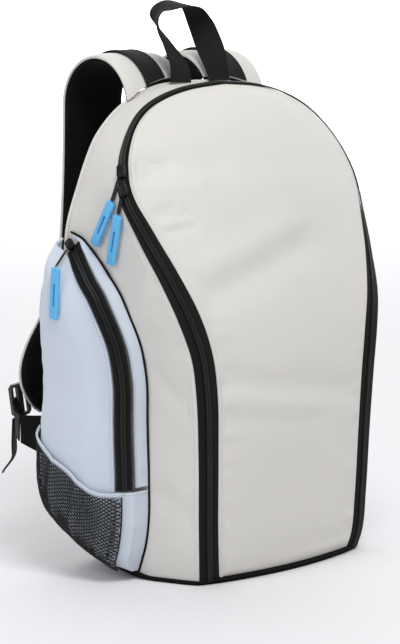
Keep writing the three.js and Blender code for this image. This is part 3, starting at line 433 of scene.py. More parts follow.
# Handle and shoulder straps
def handle_frames(along):
    def centres(t):
        row = handle_line(t)
        foot = float(top_height(WEBBING_WIDTH / 2)) + SEAM_GAP
        y = ARCH_START - HANDLE_INSET + row["back"] * HANDLE_BACK
        return points(row["over"] * HANDLE_SPAN / 2, y, foot + row["rise"] * HANDLE_RISE)

    row = handle_line(along)
    turned, tipped = np.radians(row["twist"]), np.radians(row["tip"])
    across = points(np.cos(turned), np.sin(turned), np.sin(tipped))
    return frames_at(centres(along), across, heading(centres, along, HANDLE_STEP))


def strap_centre(along):
    row = strap_line(along)
    return points(
        STRAP_SPACING / 2 + row["out"] * STRAP_SPLAY,
        ARCH_START + 2 * ARCH_RADIUS - row["near"] * STRAP_NEAR,
        ARCH_LEVEL - row["drop"] * STRAP_DROP,
    )


def strap_point(t, offset, level):
    """A point of a strap: t runs 0 to 1 over its arch and 1 to 2 down its back."""
    t, offset, level = np.broadcast_arrays(*[np.asarray(v, float) for v in (t, offset, level)])
    x = STRAP_SPACING / 2 + offset
    rise = np.maximum(top_height(x) + SEAM_GAP - ARCH_LEVEL, 0)
    foot = np.arcsin(np.clip(rise / (ARCH_RADIUS - STRAP_THICKNESS / 2), 0, 1))
    angle = lerp(foot, np.pi, np.clip(t, 0, 1))
    radius = ARCH_RADIUS + level
    arch = points(
        x, ARCH_START + ARCH_RADIUS - radius * np.cos(angle), ARCH_LEVEL + radius * np.sin(angle)
    )
    along = np.clip(t - 1, 0, 1)
    run = heading(strap_centre, along, STRAP_STEP)
    centre, across, out = frames_at(strap_centre(along), np.array([1.0, 0, 0]), run)
    start = smoothstep(along, 0, STRAP_STEP)[..., None]
    out = unit(lerp(np.array([0.0, 1, 0]), out, start))
    across = unit(lerp(np.array([1.0, 0, 0]), across, start))
    width = strap_line(along)["width"]
    drop = centre + across * (offset * width)[..., None] + out * level[..., None]
    return np.where((t <= 1)[..., None], arch, drop)


# Meshes
def placed(p):
    return (np.asarray(p, float) - np.array([0, ROW_SHIFT, 0])) / 1000


def mirrored(p, side):
    return p * np.array([side, 1, 1])


def normals(grid):
    return unit(np.cross(np.gradient(grid, axis=0), np.gradient(grid, axis=1)))


def quads(index, closed=False):
    """The four-sided faces of a grid of vertex numbers, with its columns joined into a loop or not."""
    if closed:
        index = np.concatenate([index, index[:, :1]], 1)
    return np.stack([index[:-1, :-1], index[:-1, 1:], index[1:, 1:], index[1:, :-1]], -1).reshape(-1, 4)


def wall(outer, inner):
    """A closed wall between two grids of points."""
    rows, columns = outer.shape[:2]
    index = np.arange(rows * columns).reshape(rows, columns)
    rim = np.concatenate([index[0, :-1], index[:-1, -1], index[-1, :0:-1], index[:0:-1, 0]])
    ahead = np.roll(rim, -1)
    under = rows * columns
    strip = np.stack([ahead, rim, rim + under, ahead + under], -1)
    faces = np.concatenate([quads(index), quads(index)[:, ::-1] + under, strip])
    return np.concatenate([outer.reshape(-1, 3), inner.reshape(-1, 3)]), faces.tolist()


def side_wall(outer, inner, side):
    return wall(mirrored(outer, side), mirrored(inner, side))


def tube(loops):
    """A closed tube through loops of points, one row for each loop."""
    rows, columns = loops.shape[:2]
    index = np.arange(rows * columns).reshape(rows, columns)
    caps = [index[0].tolist()[::-1], index[-1].tolist()]
    return loops.reshape(-1, 3), quads(index, closed=True).tolist() + caps


def joined(parts):
    """Several meshes as one."""
    vertices, faces, count = [], [], 0
    for found, sides in parts:
        vertices.append(found)
        faces += [[i + count for i in face] for face in sides]
        count += len(found)
    return np.concatenate(vertices), faces


def volume(vertices, faces):
    total = 0.0
    for face in faces:
        a = vertices[face[0]]
        for k in range(1, len(face) - 1):
            total += a @ np.cross(vertices[face[k]], vertices[face[k + 1]])
    return total


def band(frames, profile, width=None):
    """A strip with that cross section, as points of across and out, along frames.
    width is the share of the section's width at each frame."""
    centre, across, out = frames
    shares = np.ones(len(centre)) if width is None else width
    a = profile[None, :, 0, None] * shares[:, None, None] * across[:, None]
    return tube(centre[:, None] + a + profile[None, :, 1, None] * out[:, None])


def round_frames(line):
    """Frames along any line, without a sudden turn between them."""
    run = unit(np.gradient(line, axis=0))
    side = np.zeros_like(line)
    side[0] = square_to(np.array([0.31, 0.2, 0.93]), run[0])
    for k in range(1, len(line)):
        side[k] = square_to(side[k - 1], run[k])
    return line, side, np.cross(side, run)


def ring(radius, sides=8):
    turn = np.linspace(0, 2 * np.pi, sides, endpoint=False)
    return np.stack([radius * np.cos(turn), radius * np.sin(turn)], -1)


def lengths(line):
    """How far along a line each of its points is."""
    return np.concatenate([[0], np.cumsum(np.linalg.norm(np.diff(line, axis=0), axis=1))])


def sampled(values, length, at):
    """Values held at the points of a line, at other lengths along it."""
    return np.stack([np.interp(at, length, values[:, k]) for k in range(3)], -1)


def stitches(line, outs, pitch=3.4, length=2.5, radius=0.34, reach=0.3):
    """A row of sewn stitches on a line that lies on a surface with those outward directions."""
    far = lengths(line)
    at = np.arange(pitch / 2, far[-1], pitch)
    centre = sampled(line, far, at)
    run = unit(sampled(line, far, at + reach) - sampled(line, far, at - reach))
    nearest = np.argmin(np.linalg.norm(line[None] - centre[:, None], axis=-1), axis=1)
    out = square_to(outs[nearest], run)
    side = np.cross(run, out)
    spans = [(-length / 2, 0.25), (-length / 4, 1), (length / 4, 1), (length / 2, 0.25)]
    turns = (0, math.pi / 2, math.pi, 1.5 * math.pi)
    loops = np.stack([
        np.stack([
            centre + run * shift + (side * math.cos(turn) + out * math.sin(turn)) * radius * size
            + out * STITCH_LIFT
            for turn in turns
        ], 1)
        for shift, size in spans
    ], 1)
    return joined([tube(loop) for loop in loops])


def webbing_profile(width, thickness, ribs=13, relief=0.3):
    """Section of a strip of webbing with lengthwise ribs on both faces."""
    across = np.linspace(-0.97, 0.97, 3 * ribs + 1)
    level = thickness / 2 - relief * (0.5 + 0.5 * np.cos(np.pi * (across + 1) * ribs))
    edge = np.array([[width / 2, thickness * 0.2], [width / 2, -thickness * 0.2]])
    top = np.stack([across * width / 2, level], -1)
    return np.concatenate([top, edge, -top, -edge])


def line_frames(knots, widths, count=40):
    """Smooth frames through a few points, with a direction across at each."""
    rows = [(t, *k, *w) for t, k, w in zip(np.linspace(0, 1, len(knots)), knots, widths)]
    row = smooth("txyzuvw", rows, "t")(np.linspace(0, 1, count))
    centre = points(row["x"], row["y"], row["z"])
    run = unit(np.gradient(centre, axis=0))
    return frames_at(centre, points(row["u"], row["v"], row["w"]), run)


def on_side(frames, side):
    """Frames of the right half moved to a side, still turned the same way round."""
    return tuple(mirrored(f, side) for f in frames)


def add_to_scene(name, data):
    obj = bpy.data.objects.new(name, data)
    bpy.context.scene.collection.objects.link(obj)
    return obj


def make_object(name, mesh_parts, look, nodes=(), slot=None, sharp=35):
    """A piece in one of the looks, which replaces those nodes. slot is not used."""
    vertices, faces = mesh_parts
    if volume(vertices - vertices.mean(0), faces) < 0:
        faces = [face[::-1] for face in faces]
    mesh = bpy.data.meshes.new(name)
    mesh.from_pydata(placed(vertices).tolist(), [], faces)
    mesh.shade_smooth()
    mesh.set_sharp_from_angle(angle=math.radians(sharp))
    return add_piece(name, mesh, look, nodes, slot)


def add_piece(name, mesh, look, nodes=(), slot=None):
    mesh.materials.clear()
    mesh.materials.append(LOOKS[look])
    obj = add_to_scene(name, mesh)
    slot = slot or SLOTS[look]
    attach(obj, "root")
    if nodes:
        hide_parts(*nodes)
    return obj


# Materials
def socket(node, name, value):
    node.inputs[name].default_value = value


def linear(code):
    """A colour given as six hexadecimal digits of sRGB, in linear light."""
    shares = [int(code[i : i + 2], 16) / 255 for i in (0, 2, 4)]
    return [s / 12.92 if s <= 0.04045 else ((s + 0.055) / 1.055) ** 2.4 for s in shares]


class Look:
    """A material under construction, with short ways to add its nodes."""

    def __init__(self, name, code, roughness, metallic=0.0, **sockets):
        self.made = bpy.data.materials.new(name)
        self.made.use_nodes = True
        self.nodes, self.links = self.made.node_tree.nodes, self.made.node_tree.links
        self.shader = self.nodes["Principled BSDF"]
        self.colour = linear(code)
        socket(self.shader, "Base Color", (*self.colour, 1))
        socket(self.shader, "Roughness", roughness)
        socket(self.shader, "Metallic", metallic)
        for key, value in sockets.items():
            socket(self.shader, key.replace("_", " ").title().replace("Ior", "IOR"), value)
        self.made.diffuse_color = (*self.colour, 1)
        self.where = self.nodes.new("ShaderNodeTexCoord").outputs["Object"]
        self.height = None

    def add(self, kind, inputs=(), **settings):
        node = self.nodes.new(kind)
        for key, value in settings.items():
            setattr(node, key, value)
        for key, value in inputs:
            if isinstance(value, bpy.types.NodeSocket):
                self.links.new(value, node.inputs[key])
            else:
                node.inputs[key].default_value = value
        return node

    def sum(self, a, b, operation="ADD"):
        return self.add("ShaderNodeMath", [(0, a), (1, b)], operation=operation).outputs[0]

    def noise(self, scale, detail=2.0):
        wanted = [("Vector", self.where), ("Scale", scale), ("Detail", detail)]
        return self.add("ShaderNodeTexNoise", wanted).outputs["Fac"]

    def spread(self, low, high, scale, detail=2.0):
        """Noise spread from low to high, in patches of about 1 / scale metres."""
        wanted = [("Value", self.noise(scale, detail)), ("To Min", low), ("To Max", high)]
        return self.add("ShaderNodeMapRange", wanted).outputs[0]

    def tint(self, amount, scale):
        """Slow variation of the colour."""
        shade = self.spread(1 - amount, 1 + amount, scale, 3.0)
        wanted = [(0, self.colour), ("Scale", shade)]
        scaled = self.add("ShaderNodeVectorMath", wanted, operation="SCALE")
        self.links.new(scaled.outputs[0], self.shader.inputs["Base Color"])
        return self

    def rough(self, low, high, scale):
        self.links.new(self.spread(low, high, scale), self.shader.inputs["Roughness"])
        return self

    def waves(self, direction, pitch):
        """A sine of that pitch in metres along a direction."""
        along = self.add("ShaderNodeVectorMath", [(0, self.where), (1, direction)], operation="DOT_PRODUCT")
        turned = self.sum(along.outputs["Value"], 2 * math.pi / pitch, "MULTIPLY")
        return self.add("ShaderNodeMath", [(0, turned)], operation="SINE").outputs[0]

    def raise_by(self, value, amount):
        part = self.sum(value, amount, "MULTIPLY")
        self.height = part if self.height is None else self.sum(self.height, part)
        return self

    def weave(self, pitch, amount):
        """Crossed threads, over and under one another."""
        warp, weft = self.waves((1, 1, 0), pitch), self.waves((0.15, 0, 1), pitch)
        return self.raise_by(self.sum(warp, weft, "MULTIPLY"), amount)

    def done(self, strength=0.5, reach=0.001):
        if self.height is not None:
            bump = self.add("ShaderNodeBump", [("Height", self.height)])
            socket(bump, "Strength", strength)
            socket(bump, "Distance", reach)
            self.links.new(bump.outputs[0], self.shader.inputs["Normal"])
        return self.made


def make_looks():
    beige = Look("beige_cloth", "D6D4CF", 0.62, sheen_weight=0.12)
    beige.tint(0.02, 9).rough(0.55, 0.7, 60).weave(0.0009, 0.12).raise_by(beige.noise(260), 0.25)
    blue = Look("blue_cloth", "C9D2DE", 0.6, sheen_weight=0.12)
    blue.tint(0.025, 12).rough(0.52, 0.68, 60).weave(0.0009, 0.12).raise_by(blue.noise(260), 0.25)
    black = Look("black_cloth", "090909", 0.85, specular_ior_level=0.2)
    black.tint(0.25, 25).weave(0.0011, 0.3).raise_by(black.noise(400), 0.2)
    air_mesh = Look("air_mesh", "090909", 0.88, specular_ior_level=0.2)
    cells = air_mesh.add("ShaderNodeTexVoronoi", [("Vector", air_mesh.where), ("Scale", 330.0)])
    air_mesh.tint(0.2, 30).raise_by(cells.outputs["Distance"], 0.9)
    webbing = Look("webbing", "100F10", 0.75, specular_ior_level=0.25)
    webbing.tint(0.18, 60).rough(0.55, 0.75, 200).weave(0.0013, 0.45)
    tape = Look("zip_tape", "080808", 0.7, specular_ior_level=0.25)
    tape.tint(0.2, 40).weave(0.001, 0.25)
    coil = Look("zip_coil", "0A0A0A", 0.45, specular_ior_level=0.35)
    coil.tint(0.2, 90).rough(0.3, 0.48, 300)
    net = Look("net_cord", "08080A", 0.7)
    net.tint(0.25, 200)
    metal = Look("slider_metal", "1B1B1C", 0.34, metallic=0.75)
    metal.tint(0.2, 120).rough(0.26, 0.45, 260).raise_by(metal.noise(500), 0.1)
    rubber = Look("blue_rubber", "5FB6EA", 0.42, coat_weight=0.08)
    rubber.tint(0.03, 60).rough(0.36, 0.5, 200).raise_by(rubber.noise(700), 0.08)
    plastic = Look("buckle_plastic", "1F1F20", 0.42)
    plastic.tint(0.12, 60).rough(0.36, 0.52, 150).raise_by(plastic.noise(900), 0.12)
    thread = Look("pale_thread", "C9C6C0", 0.7)
    thread.tint(0.05, 300)
    blue_thread = Look("blue_thread", "A9B5C6", 0.7)
    blue_thread.tint(0.05, 300)
    dark_thread = Look("dark_thread", "1A1A1B", 0.7)
    dark_thread.tint(0.1, 300)
    cord = Look("cord", "161617", 0.7)
    cord.tint(0.2, 200).raise_by(cord.waves((0.4, 0.3, 1), 0.0014), 0.5)
    found = dict(
        beige=beige, blue=blue, black=black, air_mesh=air_mesh, webbing=webbing, tape=tape,
        coil=coil, net=net, metal=metal, rubber=rubber, plastic=plastic, thread=thread,
        blue_thread=blue_thread, dark_thread=dark_thread, cord=cord,
    )
    return {key: look.done() for key, look in found.items()}


LOOKS = make_looks()
SLOTS = dict(
    beige="beige_cloth", thread="beige_cloth", blue="blue_cloth", blue_thread="blue_cloth",
    black="black_cloth", air_mesh="black_cloth", webbing="webbing", dark_thread="webbing",
    tape="zip", coil="zip", net="net", metal="slider_metal", cord="pull_cord",
    rubber="blue_rubber", plastic="buckle_plastic",
)
SIDES = ((-1, "left"), (1, "right"))


# Lid
ARCH_ALONG = two_spans(SIDE_END, 0.9985, 120, 100)
LID_EDGE = np.concatenate([lid_point(ARCH_ALONG, -1), lid_point(ARCH_ALONG, 1)[::-1]])
LID_RIM = np.concatenate([LID_EDGE, lid_point(0.0, np.linspace(1, -1, 40))])

# Folds of the lid, each with its line, its width and its height.
LID_FOLDS = (
    (((-139, 60, 364), (-121, 54, 366), (-102, 49, 370)), 8, -1.7),
    (((-125, 54, 368), (-95, 47, 374), (-60, 36, 372)), 17, -2.0),
    (((-137, 57, 355), (-116, 46, 351), (-78, 34, 352)), 9, 1.3),
    (((-137, 42, 330), (-122, 37, 331), (-107, 33, 334)), 4.5, -1.5),
    (((-136, 39, 323), (-120, 33, 325), (-98, 29, 328)), 4.5, -1.4),
    (((-134, 34, 314), (-118, 28, 314), (-96, 22, 317)), 5, -1.6),
    (((-132, 38, 318), (-110, 30, 320)), 4, 1.1),
    (((-88, 1, 262), (-48, -2, 274), (-10, -1, 286), (35, 3, 296)), 17, -3.2),
    (((-84, 6, 282), (-40, 3, 296), (10, 8, 312)), 16, 2.6),
    (((-93, -7, 190), (-50, -14, 178), (10, -18, 168), (76, -10, 158)), 12, -2.2),
    (((-93, -7, 171), (-40, -14, 160), (20, -18, 150)), 10, 1.0),
    (((-88, -8, 150), (-30, -17, 143), (30, -18, 138)), 9, -0.9),
    (((70, 8, 240), (95, 8, 250)), 14, -1.2),
    (((60, 70, 400), (20, 60, 385), (-30, 60, 392)), 18, 1.4),
)
PUCKER_REACH = 17


def lid_relief(p):
    edge = distance(p, LID_RIM[::2])
    calm = smoothstep(edge, 2.5, 14)
    slow = 1.0 * noise(p, (85, 400, 60), 1) + 0.45 * noise(p, (50, 400, 22), 2)
    lower = 1 - smoothstep(p[..., 2], 195, 260)
    strength = 0.35 + 0.75 * lower
    pucker = strength * hump(edge, PUCKER_REACH) * noise(p, (60, 400, 7.5), 3)
    rim = hem(edge, 5.2, 0.45, 0.5) - 1.1 * (1 - smoothstep(edge, 0, 1.8))
    return calm * (slow + 1.2 * folds(p, LID_FOLDS)) + 1.5 * smoothstep(edge, 1.5, 6) * pucker + rim


def lifted(shape, relief, u, v, turned=1, step=2e-3):
    """Points and normals of a surface at u and v, with its relief. turned is -1 where u
    crossed with v points inwards."""
    u, v = np.broadcast_arrays(np.asarray(u, float), np.asarray(v, float))
    p = shape(u, v)
    up = shape(np.minimum(u + step, 1), v) - shape(np.maximum(u - step, 0), v)
    over = shape(u, v + step) - shape(u, v - step)
    out = unit(np.cross(up, over)) * turned
    return p + out * relief(p)[..., None], out


def grid_of(shape, relief, us, vs, turned=1):
    return lifted(shape, relief, us[:, None], vs[None, :], turned)


def build_lid():
    across = np.sin(np.linspace(1, -1, 120) * np.pi / 2) * 0.35 + np.linspace(1, -1, 120) * 0.65
    outer, out = grid_of(lid_point, lid_relief, ARCH_ALONG, across, turned=-1)
    edge = distance(outer, LID_RIM[::3])
    depth = BODY_WALL * np.clip(edge / 20, 0.3, 1)
    inner = lid_point(ARCH_ALONG[:, None], across[None]) - out * depth[..., None]
    make_object("lid_cloth", wall(outer, inner), "beige", ["front_panel"])
    rows = []
    for side in (-1, 1):
        along = np.linspace(0.008, 0.996, 700)
        row = outline(along)
        inset = -row["tape"] * MAIN_BAND / 2 - LID_GAP - STITCH_INSET
        frame_point = band_point(along, inset, np.zeros(along.shape))
        p = lid_point(*lid_params(mirrored(frame_point, side)))
        rows.append(p if side < 0 else p[::-1])
    line = np.concatenate(rows)
    shown, outs = lid_surface(line)
    make_object("lid_stitches", stitches(shown, outs), "thread")


LID_TABLE = np.linspace(0, 1, 600)
LID_TABLE_EDGE = lid_point(LID_TABLE, 1)


def lid_params(p):
    """The along and across of the lid's point in front of p."""
    along = np.interp(p[..., 2], LID_TABLE_EDGE[:, 2], LID_TABLE)
    half = np.interp(p[..., 2], LID_TABLE_EDGE[:, 2], LID_TABLE_EDGE[:, 0])
    return along, np.clip(p[..., 0] / np.maximum(half, 0.01), -0.999, 0.999)


def lid_surface(p):
    return lifted(lid_point, lid_relief, *lid_params(p), turned=-1)


build_lid()


# Gusset
GUSSET_FOLDS = {
    -1: (
        (((-108, 10, 244), (-122, 26, 226), (-133, 51, 188)), 1.3, -0.9),
        (((-142, 100, 350), (-143, 80, 300), (-138, 60, 262)), 20, -1.0),
        (((-128, 20, 290), (-135, 36, 268), (-138, 48, 240)), 9, 0.9),
        (((-112, 8, 160), (-120, 20, 172), (-126, 34, 190)), 8, -0.9),
        (((-108, 6, 120), (-117, 22, 112), (-121, 34, 96)), 10, 0.8),
        (((-106, 4, 60), (-114, 16, 66), (-120, 30, 80)), 9, -0.8),
        (((-104, 8, 40), (-110, 22, 34)), 9, 0.7),
    ),
    1: (
        (((108, 10, 244), (122, 26, 226), (133, 51, 188)), 1.3, -0.9),
        (((142, 100, 350), (143, 80, 300), (138, 60, 262)), 20, -1.0),
        (((112, 8, 170), (120, 20, 160), (126, 34, 150)), 9, -0.9),
    ),
}
ZIP_SIDE = gusset_point(ARCH_ALONG, 0)


def gusset_relief(side):
    line = mirrored(ZIP_SIDE, side)

    def relief(p):
        edge = distance(p, line[::2])
        calm = smoothstep(edge, 3, 16) * smoothstep(p[..., 2], 4, 20)
        slow = 0.8 * noise(p, (60, 70, 55), 4) + 0.3 * noise(p, (25, 30, 25), 5)
        creases = smoothstep(edge, 4, 9) * folds(p, GUSSET_FOLDS[side])
        pucker = 0.8 * hump(edge, 11) * noise(p, (40, 40, 9), 6)
        return calm * slow + creases + smoothstep(edge, 1, 5) * pucker + hem(edge, 5, 0.4, 0.45) - 0.3

    return relief


def gusset_side(side):
    return lambda along, share: mirrored(gusset_point(along, share), side)


def build_gusset():
    share = two_spans(0.25, 1, 24, 36)
    halves = []
    for side in (-1, 1):
        shape = gusset_side(side)
        outer, out = grid_of(shape, gusset_relief(side), ARCH_ALONG, share, turned=-side)
        inner = shape(ARCH_ALONG[:, None], share[None]) - out * (BODY_WALL - 0.2)
        inner[:, -1, 1] = outer[:, -1, 1]
        inner[..., 2] = np.maximum(inner[..., 2], BASE_LIFT)
        halves.append((outer, inner) if side < 0 else (outer[::-1], inner[::-1]))
    outer, inner = (np.concatenate([a, b]) for a, b in zip(*halves))
    make_object("gusset_cloth", wall(outer, inner), "beige", ["gusset_shell"])
    for side, label in SIDES:
        along = np.linspace(0.012, 0.998, 700)
        length = np.linalg.norm(gusset_point(along, 1) - gusset_point(along, 0), axis=-1)
        share = STITCH_INSET / length
        line, outs = lifted(gusset_side(side), gusset_relief(side), along, share, turned=-side)
        make_object(f"{label}_gusset_stitches", stitches(line, outs), "thread")


build_gusset()


# Zips
def tape_profile(width, lines):
    """Section of a woven tape whose face is ribbed along it."""
    across = np.linspace(-1, 1, 45)
    face = sum(height * hump(across * width / 2 - at, w) for at, w, height in lines)
    face = face - 0.06 + 0.06 * np.cos(across * width / 2 * 2 * np.pi / 1.3)
    top = np.stack([across * width / 2, face], -1)
    return np.concatenate([top, [[width / 2, -TAPE_THICKNESS], [-width / 2, -TAPE_THICKNESS]]])


MAIN_LINES = ((-6.6, 0.5, 0.22), (6.6, 0.5, 0.22), (-3.9, 0.5, 0.3), (3.9, 0.5, 0.3))
POCKET_LINES = ((-5.2, 0.5, 0.2), (5.2, 0.5, 0.2), (-3.6, 0.5, 0.3), (3.6, 0.5, 0.3))


def coil_mesh(frames, pitch=1.9):
    """Two rows of teeth with a slit between them, on a tape."""
    centre, across, out = frames
    length = lengths(centre)
    count = int(length[-1] / pitch * 3)
    at = np.linspace(0, length[-1], count)
    centre, across, out = (sampled(a, length, at) for a in (centre, across, out))
    tooth = (np.arange(count) % 3 == 1).astype(float)
    section = np.array([
        [-2.5, 0], [-2.3, 0.9], [-1.5, 1.45], [-0.7, 1.2], [-0.25, 0.45],
        [0.25, 0.45], [0.7, 1.2], [1.5, 1.45], [2.3, 0.9], [2.5, 0],
    ])
    grow = np.array([0, 0.12, 0.3, 0.24, 0.05, 0.05, 0.24, 0.3, 0.12, 0])
    level = COIL_GAP + section[None, :, 1] + tooth[:, None] * grow
    loops = centre[:, None] + section[None, :, 0, None] * across[:, None] + level[..., None] * out[:, None]
    return tube(loops)


def whole_arch(along):
    """Frames of the main zip from the left foot over the top to the right foot."""
    right = zip_frame(along)
    left = on_side(right, -1)
    return tuple(np.concatenate([a, b[::-1][1:]]) for a, b in zip(left, right))


def build_main_zip():
    along = two_spans(SIDE_END, 1, 130, 110)
    frames = whole_arch(along)
    share = outline(along)["tape"]
    share = np.concatenate([share, share[::-1][1:]])
    profile = tape_profile(MAIN_BAND, MAIN_LINES)
    make_object("main_zip_band", band(frames, profile, share), "tape", ["main_zip_tape"])
    coil = coil_mesh(whole_arch(np.linspace(0, 1, 500)))
    make_object("main_zip_teeth", coil, "coil", ["main_zip_coil"], sharp=60)


build_main_zip()


# Base, back and piping
def base_grid(rows, columns):
    bow_start = float(gusset_point(0.0, 0.0)[1] - lid_point(0.0, 0.0)[1])
    share = np.linspace(0, 1, rows)
    edge = gusset_point(0.0, share)
    radius = corner_radius(edge[:, 1])
    half = edge[:, 0] + corner_inset(edge[:, 1], edge[:, 2])
    bend = math.acos(1 - EDGE_SHARE)
    t = np.linspace(-1, 1, columns)
    arc = np.clip((np.abs(t) - 0.75) / 0.25, 0, 1) * bend * np.sign(t)
    flat = np.clip(t / 0.75, -1, 1)
    x = flat[None] * (half - radius)[:, None] + radius[:, None] * np.sin(arc)[None]
    bow = bow_start * (1 - (x / half[:, None]) ** 2) * (1 - share[:, None]) ** 3
    return points(x, edge[:, None, 1] - bow, radius[:, None] * (1 - np.cos(arc))[None])


def piping(line, radius, sides=8):
    return band(round_frames(line), ring(radius, sides))


def half_at(z):
    high = gusset_point(np.linspace(0, 1, 400), 1)
    table = np.interp(z, high[:, 2], high[:, 0])
    return np.where(z < CORNER_RADIUS, BACK_WIDTH / 2 - corner_inset(BODY_DEPTH, z), table)


def back_surface(swell):
    def shape(u, v):
        z = u * (BODY_HEIGHT - 1)
        across = 2 * v - 1
        rim = np.maximum(np.abs(across) ** 6, np.maximum(1 - z / 12, (z - BODY_HEIGHT + 14) / 14) ** 3)
        thickness = lerp(BACK_THICKNESS, BACK_EDGE, np.clip(rim, 0, 1))
        return points(half_at(z) * across, back_depth(z) + SEAM_GAP + swell * thickness, z)

    return shape


def back_relief(p):
    """Two padded columns with an air channel between them, sewn across at even steps."""
    channel = -3.2 * hump(p[..., 0], 13)
    near = np.abs((p[..., 2] - 40) / 62 % 1 - 0.5) * 62
    sewn = -2.4 * hump(near, 5) * smoothstep(np.abs(p[..., 0]), 12, 20)
    edge = np.clip((half_at(p[..., 2]) - np.abs(p[..., 0])) / 16, 0, 1)
    ends = smoothstep(p[..., 2], 4, 26) * (1 - smoothstep(p[..., 2], 404, 430))
    return edge * ends * (channel + sewn + 0.4 * noise(p, (40, 40, 30), 8))


def build_back():
    us, vs = np.linspace(0.001, 1, 130), np.linspace(0, 1, 90)
    outer, _ = grid_of(back_surface(1), back_relief, us, vs, turned=1)
    inner = back_surface(0)(us[:, None], vs[None])
    obj = make_object("back_padding", wall(outer, inner), "air_mesh", ["back_panel"])


def build_base():
    under = base_grid(60, 90)
    inner = under + np.array([0, 0, BASE_WALL])
    make_object("base_cloth", wall(under, inner), "black", ["base_panel"])
    share = np.linspace(0, 1, 90)
    edge = gusset_point(0.0, share) + np.array([0.35, 0, -1.1])
    front = lid_point(0.0, np.linspace(1, -1, 90)) + np.array([0, -0.6, -1.6])
    line = np.concatenate([edge[::-1], front[1:-1], mirrored(edge, -1)])
    line[:, 2] = np.maximum(line[:, 2], 1.5)
    make_object("base_piping", piping(line, BASE_PIPING), "black")
    along = np.linspace(0.002, 1, 240)
    seam = gusset_point(along, 1) + np.array([0, 0.1, 0])
    line = np.concatenate([mirrored(seam, -1), seam[::-1][1:]])
    make_object("back_piping", piping(line, BACK_PIPING), "beige")


build_back()
build_base()

# Side pockets
POCKET_FOLDS = (
    (((0, 137, 262), (0, 132, 236), (0, 134, 205)), 6, -2.4),
    (((0, 128, 270), (0, 124, 240), (0, 126, 214)), 5, 1.0),
    (((0, 132, 196), (0, 128, 172), (0, 131, 150)), 6, -1.6),
    (((0, 92, 292), (0, 108, 284), (0, 122, 270)), 7, -1.8),
    (((0, 100, 280), (0, 114, 262), (0, 122, 240)), 8, 1.2),
    (((0, 70, 250), (0, 92, 236), (0, 112, 232)), 20, 0.9),
    (((0, 66, 190), (0, 90, 170), (0, 118, 176)), 18, -1.1),
    (((0, 62, 130), (0, 82, 112), (0, 104, 118)), 14, 1.1),
)


def pocket_relief(seed):
    def relief(p):
        flat = p * np.array([0, 1, 1])
        seam_y, _ = seam_point(np.clip(p[..., 2] / POCKET_HEIGHT, POCKET_FOOT, 1))
        front = p[..., 1] - seam_y - POCKET_BEND
        rear = back_depth(p[..., 2]) - p[..., 1]
        low = p[..., 2] - base_edge(p[..., 1]) - BASE_LIFT
        calm = smoothstep(front, 2, 16) * smoothstep(rear, 2, 12) * smoothstep(low, 3, 24)
        calm = calm * (1 - smoothstep(p[..., 2], 284, 300))
        slow = 0.9 * noise(flat, (50, 46, 60), seed) + 0.3 * noise(flat, (50, 14, 26), seed + 1)
        pucker = 0.8 * hump(rear, 14) * noise(flat, (50, 60, 9), seed + 2)
        pucker = pucker + 0.5 * hump(front, 9) * noise(flat, (50, 60, 10), seed + 3)
        rim = smoothstep(rear, 0.5, 5) * smoothstep(front, 0.8, 4) * smoothstep(low, 1, 8)
        return calm * (slow + folds(flat, POCKET_FOLDS)) + rim * pucker

    return relief


def pocket_strip(rise, knots):
    """A strip of the pocket through some of its edges, each given by an inset and a share."""
    return np.stack([pocket_edge(rise, inset, share) for inset, share in knots], 1)


def wall_relief(grid, seed):
    """Soft waves across a strip of cloth, none at its edges."""
    across = np.linspace(0, 1, grid.shape[1])
    middle = np.sin(np.pi * across)[None]
    return middle * (0.8 * noise(grid, (30, 30, 16), seed) + 0.4 * noise(grid, (30, 30, 7), seed + 1))


def add_stitches(name, line, outs, look, side, slot=None, **sizes):
    parts = stitches(mirrored(line, side), mirrored(outs, side), **sizes)
    make_object(name, parts, look, slot=slot)


